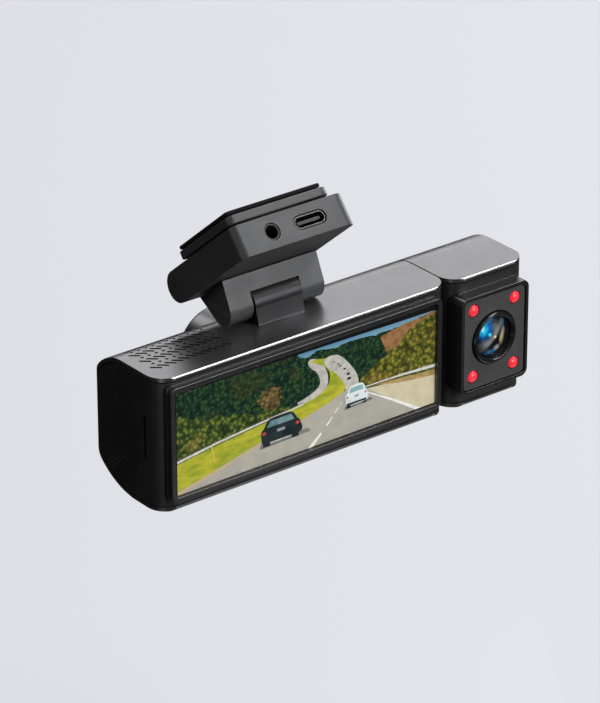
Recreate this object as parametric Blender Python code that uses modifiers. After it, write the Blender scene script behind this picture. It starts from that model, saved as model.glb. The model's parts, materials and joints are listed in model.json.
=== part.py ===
"""Dash camera with a bar screen, a turning cabin camera pod and a hinged windscreen mount.

Two sets of coordinates are used, both in metres:
- body coordinates: x runs along the bar from its left end, y from the screen side (the cabin)
  towards the road, z up from the bottom of the bar;
- shoe coordinates: x as above, y down along the windscreen, z square to the windscreen, with
  zero on the adhesive face, at the middle of the pad's grip over the shoe.
The world origin is that point on the adhesive face.
"""
import math

import bmesh
import bpy
from mathutils import Euler, Matrix, Vector

MM = 0.001
GAP = 0.3 * MM


def mm(*values):
    """Millimetres given as metres."""
    return tuple(value * MM for value in values)


# The bar: body and pod share one side profile.
BODY_LENGTH = 85.5 * MM
POD_START = 85.9 * MM
POD_END = 110.0 * MM
DEPTH = 26.7 * MM
HEIGHT = 34.0 * MM
SHARP_ANGLE = 35.0
TOP_RADIUS = 12.4 * MM
BELLY_START = 9.5 * MM
BELLY_RADIUS = 20.0 * MM
BELLY_SWEEP = 43.0
COVER_WALL = 1.0 * MM
TOP_SEAM = 21.0 * MM
FLOOR_SEAM = 9.0 * MM
WALL = 1.8 * MM
FRONT_WALL = 2.4 * MM
CAVITY_CORNER = 2.0 * MM
BEYOND = 5.0 * MM
FRONT_CORNER = 5.0 * MM
BACK_CORNER = 3.5 * MM
POD_BACK_CORNER = 6.0 * MM

# Screen
BEZEL = mm(2.1, 82.1, 3.1, 31.85)
BEZEL_PROUD = 1.6 * MM
BEZEL_RIM = 0.9 * MM
BEZEL_SEAT = 0.7 * MM
WINDOW_INSET = mm(2.0, 1.8)
GLASS_DEPTHS = mm(-1.45, -0.75)
PANEL_DEPTHS = mm(-0.45, 0.65)
BACKLIGHT_INSET = mm(2.3, 2.1)
BACKLIGHT_DEPTHS = mm(0.95, 3.2)

# Front camera, on the road side
FRONT_LENS = (42.4 * MM, 17.0 * MM)
FRONT_LENS_END = 36.5 * MM
HOUSING_RADIUS = 11.0 * MM
HOUSING_BORE = 7.2 * MM
HOUSING_MOUTH = 8.2 * MM
BARREL_RADIUS = 6.0 * MM
BARREL_ENDS = mm(13.8, 33.9)
FRONT_GLASS_RADIUS = 5.2 * MM
FRONT_GLASS_BASE = 34.2 * MM
FRONT_GLASS_RISE = 1.6 * MM
FRONT_SENSOR = mm(34.0, 50.8, 8.8, 25.2)
FRONT_SENSOR_DEPTHS = mm(12.4, 13.4)

# Pod pivot and cabin camera
PIVOT = (13.0 * MM, 17.5 * MM)
SHAFT_RADIUS = 4.0 * MM
SHAFT_BORE = 2.4 * MM
SHAFT_ENDS = mm(80.6, 89.4)
FLANGE_RADIUS = 6.0 * MM
FLANGE_START = 88.0 * MM
CLIP_RADIUS = 6.4 * MM
CLIP_ENDS = mm(81.0, 81.8)
WASHER_ENDS = mm(82.3, 83.2)
CABIN_LENS = (96.9 * MM, 17.7 * MM)
CABIN_BARREL = mm(4.6, -10.6, 1.4)
CABIN_GLASS = mm(4.5, 1.7, 1.5)
CABIN_SENSOR = mm(90.0, 104.0, 10.5, 24.9)
CABIN_SENSOR_DEPTHS = mm(10.9, 11.9)
LENS_FRAME = mm(86.6, 107.5, 4.7, 30.2)
LENS_FRAME_PROUD = 3.5 * MM
LENS_FRAME_RIM = 0.8 * MM
PLATE_DEPTHS = mm(-3.2, -2.3)
PLATE_HOLES = mm(6.9, 1.7)
LED_SPACING = (12.8 * MM, 17.4 * MM)
LED_RADIUS = 1.4 * MM
LED_BASE = 1.0 * MM
LED_SHOULDER = 3.1 * MM
LED_RISE = 0.7 * MM
LED_BOARD_DEPTHS = mm(-0.7, 0.1)

# Windscreen mount
MOUNT_TILT = 40.0
MOUNT_POINT = Vector((39.2, 16.8, 59.0)) * MM
PIN = (14.4 * MM, 38.0 * MM)
PIN_RADIUS = 1.5 * MM
SLEEVE_RADIUS = 2.3 * MM
EAR_RADIUS = 3.7 * MM
KNUCKLE_RADIUS = 4.1 * MM
BRACKET = (28.6 * MM, 56.2 * MM)
NOTCH = (35.3 * MM, 49.5 * MM)
BRACKET_LEAN = 24.6
BRACKET_REAR = 31.5
SHOE = (-14.3 * MM, 18.7 * MM)
SHOE_CORNERS = mm(2.0, 3.2, 0.5, 0.5)
SHOE_FRONT = -11.45 * MM
SHOE_TOP = -3.7 * MM
SHOE_BOTTOM = -11.6 * MM
TAIL_CENTRE = 19.0 * MM
SHOE_WALL = 1.4 * MM
PLATE = (-14.0 * MM, 15.4 * MM, -11.45 * MM, 13.25 * MM)
PLATE_CORNERS = mm(1.8, 3.0, 1.0, 1.0)
PLATE_HEIGHTS = mm(-3.4, -1.1)
PAD = mm(-13.8, 13.6, -11.25, 12.95)
PAD_THICKNESS = 0.8 * MM
RAIL_MIDDLE = 0.2 * MM
RAIL_STEM = mm(6.8, -4.3, -2.2)
RAIL_HEAD = mm(8.8, -2.55, -1.8)
SLOT_MOUTH = mm(7.1, -5.0, -2.0)
SLOT_WIDE = mm(9.1, -2.7, -1.6)
BRACKET_SCREWS = (mm(-6.5, 10.2), mm(12.5, 10.2))
MOUNT_BOARD = mm(-12.1, 15.2, -3.55, 8.3, -9.4, -8.4)

# Sockets in the shoe: centre across the shoe and square to the glass
SOCKET_LEVEL = -7.65 * MM
USB_C = (6.7 * MM, SOCKET_LEVEL)
USB_WAY = mm(4.65, 1.8)
USB_SHELL = mm(4.35, 1.5)
USB_MOUTH = mm(4.15, 1.3)
USB_DEPTHS = mm(7.3, 6.6)
USB_TONGUE = mm(3.3, 0.35)
JACK = (-4.25 * MM, SOCKET_LEVEL)
JACK_RADII = mm(2.15, 1.85, 1.3)
JACK_LENGTH = 4.0 * MM
SOCKET_INSET = 0.2 * MM

# Memory card
CARD_PLANE = 5.75 * MM
CARD_HALF = 0.35 * MM
CARD_ENDS = mm(0.5, 15.5)
CARD_HEIGHTS = (12.5 * MM, 23.4 * MM)
SLOT_HALF = 0.5 * MM
CARD_SOCKET = mm(2.6, 17.5, 4.75, 6.75)
CARD_SOCKET_RIM = 1.3 * MM
CARD_WAY_END = 16.8 * MM

# Buttons, on the underside
BUTTON_NAMES = ("power", "menu", "up", "down")
BUTTON_FIRST = 30.0 * MM
BUTTON_PITCH = 8.0 * MM
BUTTON_ROW = 5.0 * MM
BUTTON_HALF = mm(3.0, 1.5)
BUTTON_FLANGE = 0.8 * MM
BUTTON_HEIGHTS = mm(-0.5, 1.8, 2.0)

# Boards and blocks inside the bar: x, y and z limits
MAIN_BOARD = mm(3.5, 78.0, 8.2, 9.4, 9.5, 29.5)
BUTTON_BOARD = mm(25.0, 59.0, 2.8, 7.6, 3.2, 4.0)
BATTERY = mm(5.0, 29.0, 9.9, 15.5, 10.0, 23.5)
MICROPHONE = mm(64.0, 68.0, 9.7, 10.9, 10.5, 13.5)
SPEAKER_PLACE = mm(14.0, 15.8, 24.5)
SPEAKER_PROFILE = (mm(0.0, 4.0), mm(5.2, 4.0), mm(6.0, 2.8), mm(6.0, 0.8), mm(4.0, 0.0), mm(0.0, 0.0))
SINK = mm(69.5, 78.0, 9.7, 14.0)
SINK_HEIGHTS = mm(11.0, 27.0)
FIN_COUNT = 3
FIN_PITCH = 3.3 * MM
FIN_THICKNESS = 1.9 * MM
SINK_BASE = 1.2 * MM

# Screws
BODY_SCREW_X = mm(4.1, 81.4)
BODY_SCREW_Y = mm(6.0, 13.0)
SCREW_HEAD = 1.4 * MM
SCREW_SHANK = 0.7 * MM
SCREW_HOLE = 1.0 * MM
SCREW_LEVELS = mm(0.05, 0.5, 5.5)
SCREW_SEAT = mm(1.7, 0.55)
POST_RADIUS = 2.6 * MM
POST_HEIGHTS = mm(2.2, 9.0)
POST_HOLE_TOP = 7.5 * MM

# Finishes: colour, roughness and metallic value
COVER_GREY = ((0.32, 0.33, 0.34), 0.35, 0.4)
MOUNT_GREY = ((0.12, 0.125, 0.13), 0.4, 0.0)
HOUSING_BLACK = ((0.012, 0.012, 0.013), 0.45, 0.0)
GLOSS_BLACK = ((0.012, 0.012, 0.013), 0.25, 0.0)
SATIN_BLACK = ((0.012, 0.012, 0.013), 0.35, 0.0)
MATT_BLACK = ((0.012, 0.012, 0.013), 0.5, 0.0)
PANE_BLACK = ((0.012, 0.012, 0.013), 0.05, 0.0)
PLATE_GREY = ((0.05, 0.05, 0.052), 0.5, 0.0)
FOAM_BLACK = ((0.03, 0.03, 0.03), 0.9, 0.0)
LENS_BLUE = ((0.02, 0.05, 0.12), 0.03, 0.0)
LIGHT_GUIDE = ((0.85, 0.85, 0.85), 0.4, 0.0)
BOARD_GREEN = ((0.02, 0.16, 0.07), 0.4, 0.0)
LED_RED = ((0.75, 0.02, 0.05), 0.2, 0.0)
BARE_STEEL = ((0.55, 0.55, 0.56), 0.3, 1.0)
ALLOY = ((0.7, 0.7, 0.72), 0.35, 1.0)
CELL_WRAP = ((0.6, 0.6, 0.62), 0.4, 0.6)


# ---------------------------------------------------------------- outlines

def arc(centre, radius, start, end, steps):
    """Points along an arc; angles in degrees."""
    points = []
    for step in range(steps + 1):
        angle = math.radians(start + (end - start) * step / steps)
        points.append((centre[0] + radius * math.cos(angle), centre[1] + radius * math.sin(angle)))
    return points


def rounded(x0, x1, y0, y1, radii, steps=6):
    """A rectangle with a radius for each corner: low-low, high-low, high-high, low-high."""
    if isinstance(radii, float):
        radii = (radii,) * 4
    corners = ((x0, y0, 1, 1, 180), (x1, y0, -1, 1, 270), (x1, y1, -1, -1, 0), (x0, y1, 1, -1, 90))
    points = []
    for (x, y, turn_x, turn_y, start), radius in zip(corners, radii):
        centre = (x + turn_x * radius, y + turn_y * radius)
        points += arc(centre, radius, start, start + 90, steps)
    return points


def circle(centre, radius, steps=24):
    return arc(centre, radius, 0, 360, steps)[:-1]


def heel():
    """Centre and radius of the arc between the belly and the upright back."""
    sweep = math.radians(BELLY_SWEEP)
    y = BELLY_START + BELLY_RADIUS * math.sin(sweep)
    z = BELLY_RADIUS * (1 - math.cos(sweep))
    radius = (DEPTH - y) / (1 - math.sin(sweep))
    return (DEPTH - radius, z + radius * math.cos(sweep)), radius


def top_edge(inset):
    """Side profile of the top, from the front to the seam low on the back."""
    centre = (DEPTH - TOP_RADIUS, HEIGHT - TOP_RADIUS)
    curve = arc(centre, TOP_RADIUS - inset, 90, 0, 12)
    return [(0.0, HEIGHT - inset)] + curve + [(DEPTH - inset, TOP_SEAM)]


def heel_angle(level, inset):
    centre, radius = heel()
    return math.degrees(math.asin((level - centre[1]) / (radius - inset)))


def bottom_edge(inset, level):
    """Side profile of the belly, from the front to a level on the back."""
    centre, radius = heel()
    belly = arc((BELLY_START, BELLY_RADIUS), BELLY_RADIUS - inset, -90, BELLY_SWEEP - 90, 7)
    back = arc(centre, radius - inset, BELLY_SWEEP - 90, heel_angle(level, inset), 3)
    return [(0.0, inset)] + belly + back[1:]


def middle_outline():
    """Side profile of the black housing between the two grey covers."""
    inset = COVER_WALL + GAP
    centre, radius = heel()
    level = FLOOR_SEAM + GAP
    upright = arc(centre, radius, heel_angle(level, 0.0), 0, 4)
    top = [(DEPTH - inset, TOP_SEAM - GAP)] + top_edge(inset)[-2::-1]
    return bottom_edge(inset, level) + upright + [(DEPTH, TOP_SEAM - GAP)] + top


def full_outline(grow):
    """Side profile of the whole bar, grown outwards."""
    seam = heel()[0][1]
    belly = bottom_edge(-grow, seam)
    top = top_edge(-grow)[-2::-1]
    outline = belly + top
    return [(-grow if y == 0.0 else y, z) for y, z in outline]


def plan_outline(x0, x1, back_right):
    return rounded(x0, x1, 0.0, DEPTH, (FRONT_CORNER, FRONT_CORNER, back_right, BACK_CORNER), 8)


# ---------------------------------------------------------------- solids

TURNS = {
    "X": Euler((math.radians(90), 0, math.radians(90))),
    "Y": Euler((math.radians(90), 0, 0)),
    "Z": Euler((0, 0, 0)),
}
AXES = {"X": Vector((1, 0, 0)), "Y": Vector((0, 1, 0)), "Z": Vector((0, 0, 1))}


def prism(name, outlines, axis, low, high):
    """A flat outline with holes, extruded along an axis from low to high."""
    if isinstance(outlines[0][0], float):
        outlines = [outlines]
    curve = bpy.data.curves.new(name, "CURVE")
    curve.dimensions = "2D"
    curve.fill_mode = "BOTH"
    curve.extrude = (high - low) / 2
    for outline in outlines:
        spline = curve.splines.new("POLY")
        spline.points.add(len(outline) - 1)
        spline.use_cyclic_u = True
        for point, (x, y) in zip(spline.points, outline):
            point.co = (x, y, 0, 1)
    guide = bpy.data.objects.new(name, curve)
    guide.rotation_euler = TURNS[axis]
    guide.location = AXES[axis] * (low + high) / 2
    bpy.context.scene.collection.objects.link(guide)
    bpy.context.view_layer.update()
    evaluated = guide.evaluated_get(bpy.context.evaluated_depsgraph_get())
    mesh = bpy.data.meshes.new_from_object(evaluated)
    weld(mesh)
    piece = bpy.data.objects.new(name, mesh)
    piece.matrix_world = guide.matrix_world
    bpy.data.objects.remove(guide)
    piece.name = name
    PARTS.objects.link(piece)
    return piece


def weld(mesh):
    """Joins the loose caps to the walls and points every face outwards."""
    shape = bmesh.new()
    shape.from_mesh(mesh)
    bmesh.ops.remove_doubles(shape, verts=shape.verts, dist=0.001 * MM)
    bmesh.ops.recalc_face_normals(shape, faces=shape.faces)
    shape.to_mesh(mesh)
    shape.free()


def box(name, x0, x1, y0, y1, z0, z1):
    shape = bmesh.new()
    bmesh.ops.create_cube(shape, size=1.0)
    bmesh.ops.scale(shape, vec=(x1 - x0, y1 - y0, z1 - z0), verts=shape.verts)
    mesh = bpy.data.meshes.new(name)
    shape.to_mesh(mesh)
    shape.free()
    piece = bpy.data.objects.new(name, mesh)
    piece.location = ((x0 + x1) / 2, (y0 + y1) / 2, (z0 + z1) / 2)
    PARTS.objects.link(piece)
    return piece


def turned(name, profile, axis, centre, closed=False, steps=24):
    """A profile of (radius, height) points turned about an axis through centre.

    The profile runs down its outer side; a closed one makes a ring.
    """
    mesh = bpy.data.meshes.new(name)
    count = len(profile)
    edges = [(i, i + 1) for i in range(count - 1)]
    if closed:
        edges.append((count - 1, 0))
    mesh.from_pydata([(radius, 0, height) for radius, height in profile], edges, [])
    piece = bpy.data.objects.new(name, mesh)
    turns = {"X": (0, 90, 0), "-Y": (90, 0, 0), "Y": (-90, 0, 0), "Z": (0, 0, 0), "-Z": (180, 0, 0)}
    piece.rotation_euler = [math.radians(angle) for angle in turns[axis]]
    piece.location = centre
    screw = piece.modifiers.new("turn", "SCREW")
    screw.steps = steps
    screw.render_steps = steps
    screw.use_merge_vertices = True
    screw.merge_threshold = 0.001 * MM
    PARTS.objects.link(piece)
    return piece


def ring(name, inner, outer, low, high, axis, centre, steps=24):
    profile = [(outer, high), (outer, low), (inner, low), (inner, high)]
    return turned(name, profile, axis, centre, True, steps)


def rod(name, radius, low, high, axis, centre, steps=24):
    profile = [(0, high), (radius, high), (radius, low), (0, low)]
    return turned(name, profile, axis, centre, False, steps)


def combine(piece, tool, operation):
    """Cuts, joins or clips a piece with a tool, which becomes a hidden cutter."""
    for collection in list(tool.users_collection):
        collection.objects.unlink(tool)
    CUTTERS.objects.link(tool)
    tool.hide_render = True
    tool.display_type = "WIRE"
    modifier = piece.modifiers.new(tool.name, "BOOLEAN")
    modifier.object = tool
    modifier.operation = operation
    return piece


def cut(piece, tool):
    return combine(piece, tool, "DIFFERENCE")


def join(piece, tool):
    return combine(piece, tool, "UNION")


def clip(piece, tool):
    return combine(piece, tool, "INTERSECT")


def finish(piece, axis, base, look):
    """Gives a piece its material and hangs it, with its cutters, on its axis empty."""
    colour, roughness, metallic = look
    material = bpy.data.materials.new(piece.name + "_finish")
    material.use_nodes = True
    shader = material.node_tree.nodes["Principled BSDF"]
    shader.inputs["Base Color"].default_value = (*colour, 1)
    shader.inputs["Roughness"].default_value = roughness
    shader.inputs["Metallic"].default_value = metallic
    piece.data.materials.clear()
    piece.data.materials.append(material)
    tools = [m.object for m in piece.modifiers if m.type == "BOOLEAN"]
    for item in [piece] + tools:
        item.parent = axis
        item.matrix_parent_inverse = axis.matrix_world.inverted() @ base
    if not piece.modifiers:
        piece.data.shade_smooth()
        piece.data.set_sharp_from_angle(angle=math.radians(SHARP_ANGLE))


# ---------------------------------------------------------------- frames

def clear_scene():
    for item in list(bpy.data.objects):
        bpy.data.objects.remove(item)


def new_collection(name):
    collection = bpy.data.collections.new(name)
    bpy.context.scene.collection.children.link(collection)
    return collection


def axis_empty(name, place, base):
    empty = bpy.data.objects.new(name, None)
    empty.matrix_world = base @ Matrix.Translation(place)
    empty.empty_display_size = 5 * MM
    PARTS.objects.link(empty)
    bpy.context.view_layer.update()
    return empty


# ---------------------------------------------------------------- camera body

def length_of_bar(name, outline, x0, x1, back_right):
    """A side profile run along the bar, with the corners of its plan rounded."""
    piece = prism(name, outline, "X", x0 - GAP, x1 + GAP)
    plan = plan_outline(x0, x1, back_right)
    return clip(piece, prism(name + "_plan", plan, "Z", -BEYOND, HEIGHT + BEYOND))


def make_covers(prefix, x0, x1, back_right):
    """The grey top and bottom covers of one length of the bar."""
    top_outline = top_edge(0.0) + top_edge(COVER_WALL)[::-1]
    bottom_outline = bottom_edge(0.0, FLOOR_SEAM) + bottom_edge(COVER_WALL, FLOOR_SEAM)[::-1]
    top = length_of_bar(prefix + "top_cover", top_outline, x0, x1, back_right)
    bottom = length_of_bar(prefix + "bottom_cover", bottom_outline, x0, x1, back_right)
    return top, bottom


def make_middle(name, x0, x1, back_right):
    """The black housing: a sleeve open to the two covers."""
    piece = length_of_bar(name, middle_outline(), x0, x1, back_right)
    cavity = rounded(x0 + WALL, x1 - WALL, FRONT_WALL, DEPTH - WALL, CAVITY_CORNER, 3)
    return cut(piece, prism(name + "_cavity", cavity, "Z", -2 * BEYOND, HEIGHT + 2 * BEYOND))


def shaft_hole(name, x0, x1, radius):
    return rod(name, radius, x0, x1, "X", (0, *PIVOT))


def front_lens_hole(name, radius):
    start = DEPTH / 2
    return rod(name, radius, start, FRONT_LENS_END + BEYOND, "Y", (FRONT_LENS[0], 0, FRONT_LENS[1]))


def screw_places():
    return [(x, y) for x in BODY_SCREW_X for y in BODY_SCREW_Y]


def make_body(axis):
    top, bottom = make_covers("", 0.0, BODY_LENGTH, BACK_CORNER)
    cut(top, front_lens_hole("top_cover_lens_hole", BARREL_RADIUS + GAP))
    finish(top, axis, BODY, COVER_GREY)
    middle = make_middle("mid_housing", 0.0, BODY_LENGTH, BACK_CORNER)
    add_screen_opening(middle)
    add_card_slot(middle)
    cut(middle, front_lens_hole("mid_housing_lens_hole", BARREL_RADIUS + GAP))
    start, end = BODY_LENGTH - WALL - GAP, BODY_LENGTH + GAP
    cut(middle, shaft_hole("body_shaft_hole", start, end, SHAFT_RADIUS + GAP))
    add_screw_posts(middle)
    finish(middle, axis, BODY, HOUSING_BLACK)
    add_cover_openings(bottom)
    finish(bottom, axis, BODY, COVER_GREY)


def add_screen_opening(middle):
    x0, x1, z0, z1 = BEZEL
    recess = rounded(x0 - GAP, x1 + GAP, z0 - GAP, z1 + GAP, 1.5 * MM, 3)
    cut(middle, prism("bezel_recess", recess, "Y", -BEYOND, BEZEL_SEAT + GAP))
    dx, dz = WINDOW_INSET
    window = rounded(x0 + dx, x1 - dx, z0 + dz, z1 - dz, 0.5 * MM, 2)
    cut(middle, prism("screen_window", window, "Y", -BEYOND, FRONT_WALL + GAP))


def add_card_slot(middle):
    low, high = CARD_HEIGHTS
    radius = SLOT_HALF - 0.01 * MM
    slot = rounded(CARD_PLANE - SLOT_HALF, CARD_PLANE + SLOT_HALF, low - GAP, high + GAP, radius, 3)
    cut(middle, prism("card_slot", slot, "X", -BEYOND, WALL + GAP))


def add_screw_posts(middle):
    for number, (x, y) in enumerate(screw_places(), 1):
        join(middle, rod(f"screw_post_{number}", POST_RADIUS, *POST_HEIGHTS, "Z", (x, y, 0), 16))
    for number, (x, y) in enumerate(screw_places(), 1):
        cut(middle, rod(f"screw_hole_{number}", SCREW_HOLE, 0.0, POST_HOLE_TOP, "Z", (x, y, 0), 12))


def add_cover_openings(bottom):
    radius, depth = SCREW_SEAT
    for number, (x, y) in enumerate(screw_places(), 1):
        cut(bottom, rod(f"screw_seat_{number}", radius, -BEYOND, depth, "Z", (x, y, 0), 16))
        cut(bottom, rod(f"screw_way_{number}", SCREW_HOLE, -BEYOND, COVER_WALL * 3, "Z", (x, y, 0), 12))
    for number, name in enumerate(BUTTON_NAMES):
        hole = button_outline(BUTTON_FIRST + number * BUTTON_PITCH, GAP)
        cut(bottom, prism(f"{name}_button_hole", hole, "Z", -BEYOND, COVER_WALL * 3))


def button_outline(x, grow):
    half_length = BUTTON_HALF[0] + grow
    half_width = BUTTON_HALF[1] + grow
    y = BUTTON_ROW
    radius = half_width - 0.01 * MM
    return rounded(x - half_length, x + half_length, y - half_width, y + half_width, radius, 4)


def make_button(name, x, axis):
    """A button cap with a flange that keeps it inside the cover."""
    face, cap_top, flange_top = BUTTON_HEIGHTS
    piece = prism(name, button_outline(x, 0.0), "Z", face, cap_top)
    flange = prism(name + "_flange", button_outline(x, BUTTON_FLANGE), "Z", COVER_WALL + GAP, flange_top)
    join(piece, flange)
    finish(piece, axis, BODY, MATT_BLACK)


def make_screw(name, place, axis):
    face, neck, tip = SCREW_LEVELS
    shank = [(0, tip), (SCREW_SHANK, tip), (SCREW_SHANK, neck)]
    head = [(SCREW_HEAD, neck), (SCREW_HEAD, face), (0, face)]
    piece = turned(name, shank + head, "Z", place, False, 12)
    finish(piece, axis, BODY, BARE_STEEL)


def make_screen(axis):
    x0, x1, z0, z1 = BEZEL
    rim = BEZEL_RIM
    outer = rounded(x0, x1, z0, z1, 1.2 * MM, 3)
    inner = rounded(x0 + rim, x1 - rim, z0 + rim, z1 - rim, 0.5 * MM, 2)
    bezel = prism("screen_bezel", [outer, inner], "Y", -BEZEL_PROUD, BEZEL_SEAT)
    finish(bezel, axis, BODY, GLOSS_BLACK)
    edge = rim + GAP
    pane = rounded(x0 + edge, x1 - edge, z0 + edge, z1 - edge, 0.4 * MM, 2)
    glass = prism("screen_glass", pane, "Y", *GLASS_DEPTHS)
    finish(glass, axis, BODY, PANE_BLACK)
    panel = prism("lcd_panel", pane, "Y", *PANEL_DEPTHS)
    finish(panel, axis, BODY, SATIN_BLACK)
    dx, dz = BACKLIGHT_INSET
    light = box("lcd_backlight", x0 + dx, x1 - dx, *BACKLIGHT_DEPTHS, z0 + dz, z1 - dz)
    finish(light, axis, BODY, LIGHT_GUIDE)


def make_boards(axis):
    main = box("main_board", *MAIN_BOARD)
    finish(main, axis, BODY, BOARD_GREEN)
    buttons = box("button_board", *BUTTON_BOARD)
    finish(buttons, axis, BODY, BOARD_GREEN)
    sink = prism("heat_sink", fin_outline(), "Z", *SINK_HEIGHTS)
    finish(sink, axis, BODY, ALLOY)
    battery = box("backup_battery", *BATTERY)
    finish(battery, axis, BODY, CELL_WRAP)
    speaker = turned("speaker", SPEAKER_PROFILE, "Z", SPEAKER_PLACE)
    finish(speaker, axis, BODY, MATT_BLACK)
    microphone = box("microphone", *MICROPHONE)
    finish(microphone, axis, BODY, BARE_STEEL)
    sensor = prism("front_sensor_board", rounded(*FRONT_SENSOR, 0.8 * MM, 2), "Y", *FRONT_SENSOR_DEPTHS)
    finish(sensor, axis, BODY, BOARD_GREEN)


def fin_outline():
    """A finned heat sink seen from above: a base with upright fins."""
    x0, x1, base_y, tip_y = SINK
    points = [(x0, base_y), (x1, base_y)]
    for number in range(FIN_COUNT):
        right = x1 - number * FIN_PITCH
        left = right - FIN_THICKNESS
        points += [(right, tip_y), (left, tip_y)]
        if number < FIN_COUNT - 1:
            points += [(left, base_y + SINK_BASE), (right - FIN_PITCH, base_y + SINK_BASE)]
    return points


def make_card_socket(axis):
    low, high = CARD_HEIGHTS
    socket = box("card_socket", *CARD_SOCKET, low - CARD_SOCKET_RIM, high + CARD_SOCKET_RIM)
    sides = (CARD_PLANE - SLOT_HALF, CARD_PLANE + SLOT_HALF)
    cut(socket, box("card_way", -BEYOND, CARD_WAY_END, *sides, low - GAP, high + GAP))
    finish(socket, axis, BODY, BARE_STEEL)


def make_card(axis):
    low, high = CARD_HEIGHTS
    outer, inner = CARD_ENDS
    step = high - 1.1 * MM
    outline = [(outer, low), (inner, low), (inner, high - 2.6 * MM), (inner - 1.6 * MM, step),
               (9.5 * MM, step), (8.4 * MM, high), (outer, high)]
    card = prism("memory_card", outline, "Y", CARD_PLANE - CARD_HALF, CARD_PLANE + CARD_HALF)
    finish(card, axis, BODY, MATT_BLACK)


def make_front_camera(axis):
    centre = (FRONT_LENS[0], 0, FRONT_LENS[1])
    make_front_housing(centre, axis)
    end = FRONT_LENS_END
    face = end - 0.3 * MM
    back = end - 2.2 * MM
    bore = BARREL_RADIUS - 0.4 * MM
    trim_radius = HOUSING_MOUTH - GAP
    cone = [(bore, back), (bore, back + 0.6 * MM), (7.0 * MM, face)]
    profile = [(trim_radius, face), (trim_radius, back)] + cone
    trim = turned("front_lens_trim", profile, "Y", centre, True)
    finish(trim, axis, BODY, SATIN_BLACK)
    back, face = BARREL_ENDS
    chamfer = [(bore, face), (BARREL_RADIUS, face - 0.4 * MM)]
    profile = [(0, face)] + chamfer + [(BARREL_RADIUS, back), (0, back)]
    barrel = turned("front_lens_barrel", profile, "Y", centre)
    finish(barrel, axis, BODY, SATIN_BLACK)
    dome = dome_profile(FRONT_GLASS_RADIUS, FRONT_GLASS_BASE, FRONT_GLASS_RISE)
    glass = turned("front_lens_glass", dome, "Y", centre)
    finish(glass, axis, BODY, LENS_BLUE)


def make_front_housing(centre, axis):
    """A round shroud that fits against the curved back of the bar."""
    end = FRONT_LENS_END
    outer = HOUSING_RADIUS
    start = DEPTH - 6.7 * MM
    step = end - 2.5 * MM
    rim = 0.45 * MM
    outside = [(outer - 1.5 * MM, end), (outer - rim, end - rim), (outer, end - 1.5 * MM), (outer, start)]
    inside = [(HOUSING_BORE, start), (HOUSING_BORE, step), (HOUSING_MOUTH, step), (HOUSING_MOUTH, end)]
    housing = turned("front_lens_housing", outside + inside, "Y", centre, True, 36)
    cut(housing, prism("bar_solid", full_outline(GAP), "X", 2 * BEYOND, BODY_LENGTH - 2 * BEYOND))
    finish(housing, axis, BODY, COVER_GREY)


def dome_profile(radius, base, rise):
    """A shallow dome of a given rise on a flat base."""
    sphere = (radius * radius + rise * rise) / (2 * rise)
    angle = math.degrees(math.asin(radius / sphere))
    cap = arc((0, base + rise - sphere), sphere, 90, 90 - angle, 5)
    return cap + [(0, base)]


# ---------------------------------------------------------------- cabin pod

def make_pod(axis, body_axis):
    for cover in make_covers("pod_", POD_START, POD_END, POD_BACK_CORNER):
        finish(cover, axis, BODY, COVER_GREY)
    housing = make_middle("pod_housing", POD_START, POD_END, POD_BACK_CORNER)
    x0, x1, z0, z1 = LENS_FRAME
    inset = 1.5 * MM
    window = rounded(x0 + inset, x1 - inset, z0 + inset, z1 - inset, 1 * MM, 2)
    cut(housing, prism("pod_window", window, "Y", -BEYOND, FRONT_WALL + GAP))
    start, end = POD_START - GAP, POD_START + WALL + GAP
    cut(housing, shaft_hole("pod_shaft_hole", start, end, SHAFT_RADIUS + GAP))
    finish(housing, axis, BODY, HOUSING_BLACK)
    make_pod_pivot(axis, body_axis)
    make_cabin_camera(axis)


def make_pod_pivot(axis, body_axis):
    """A hollow flanged shaft through both end walls, with a friction washer and a clip."""
    centre = (0, *PIVOT)
    start, end = SHAFT_ENDS
    flange = FLANGE_START
    profile = [(SHAFT_RADIUS, start), (SHAFT_BORE, start), (SHAFT_BORE, end), (FLANGE_RADIUS, end),
               (FLANGE_RADIUS, flange), (SHAFT_RADIUS, flange)]
    shaft = turned("pod_shaft", profile, "X", centre, True)
    finish(shaft, axis, BODY, BARE_STEEL)
    clip_ring = ring("pod_retaining_clip", SHAFT_RADIUS + GAP, CLIP_RADIUS, *CLIP_ENDS, "X", centre)
    finish(clip_ring, axis, BODY, BARE_STEEL)
    washer = ring("pod_friction_washer", SHAFT_RADIUS + GAP, CLIP_RADIUS, *WASHER_ENDS, "X", centre)
    finish(washer, body_axis, BODY, BARE_STEEL)


def led_places():
    x, z = CABIN_LENS
    dx = LED_SPACING[0] / 2
    dz = LED_SPACING[1] / 2
    return [(x - dx, z + dz), (x + dx, z + dz), (x + dx, z - dz), (x - dx, z - dz)]


def make_cabin_camera(axis):
    make_lens_frame(axis)
    make_cabin_lens(axis)
    make_leds(axis)
    sensor = prism("cabin_sensor_board", rounded(*CABIN_SENSOR, 0.8 * MM, 2), "Y", *CABIN_SENSOR_DEPTHS)
    finish(sensor, axis, BODY, BOARD_GREEN)


def inset_frame(inset, radius, steps=4):
    x0, x1, z0, z1 = LENS_FRAME
    return rounded(x0 + inset, x1 - inset, z0 + inset, z1 - inset, radius, steps)


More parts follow.
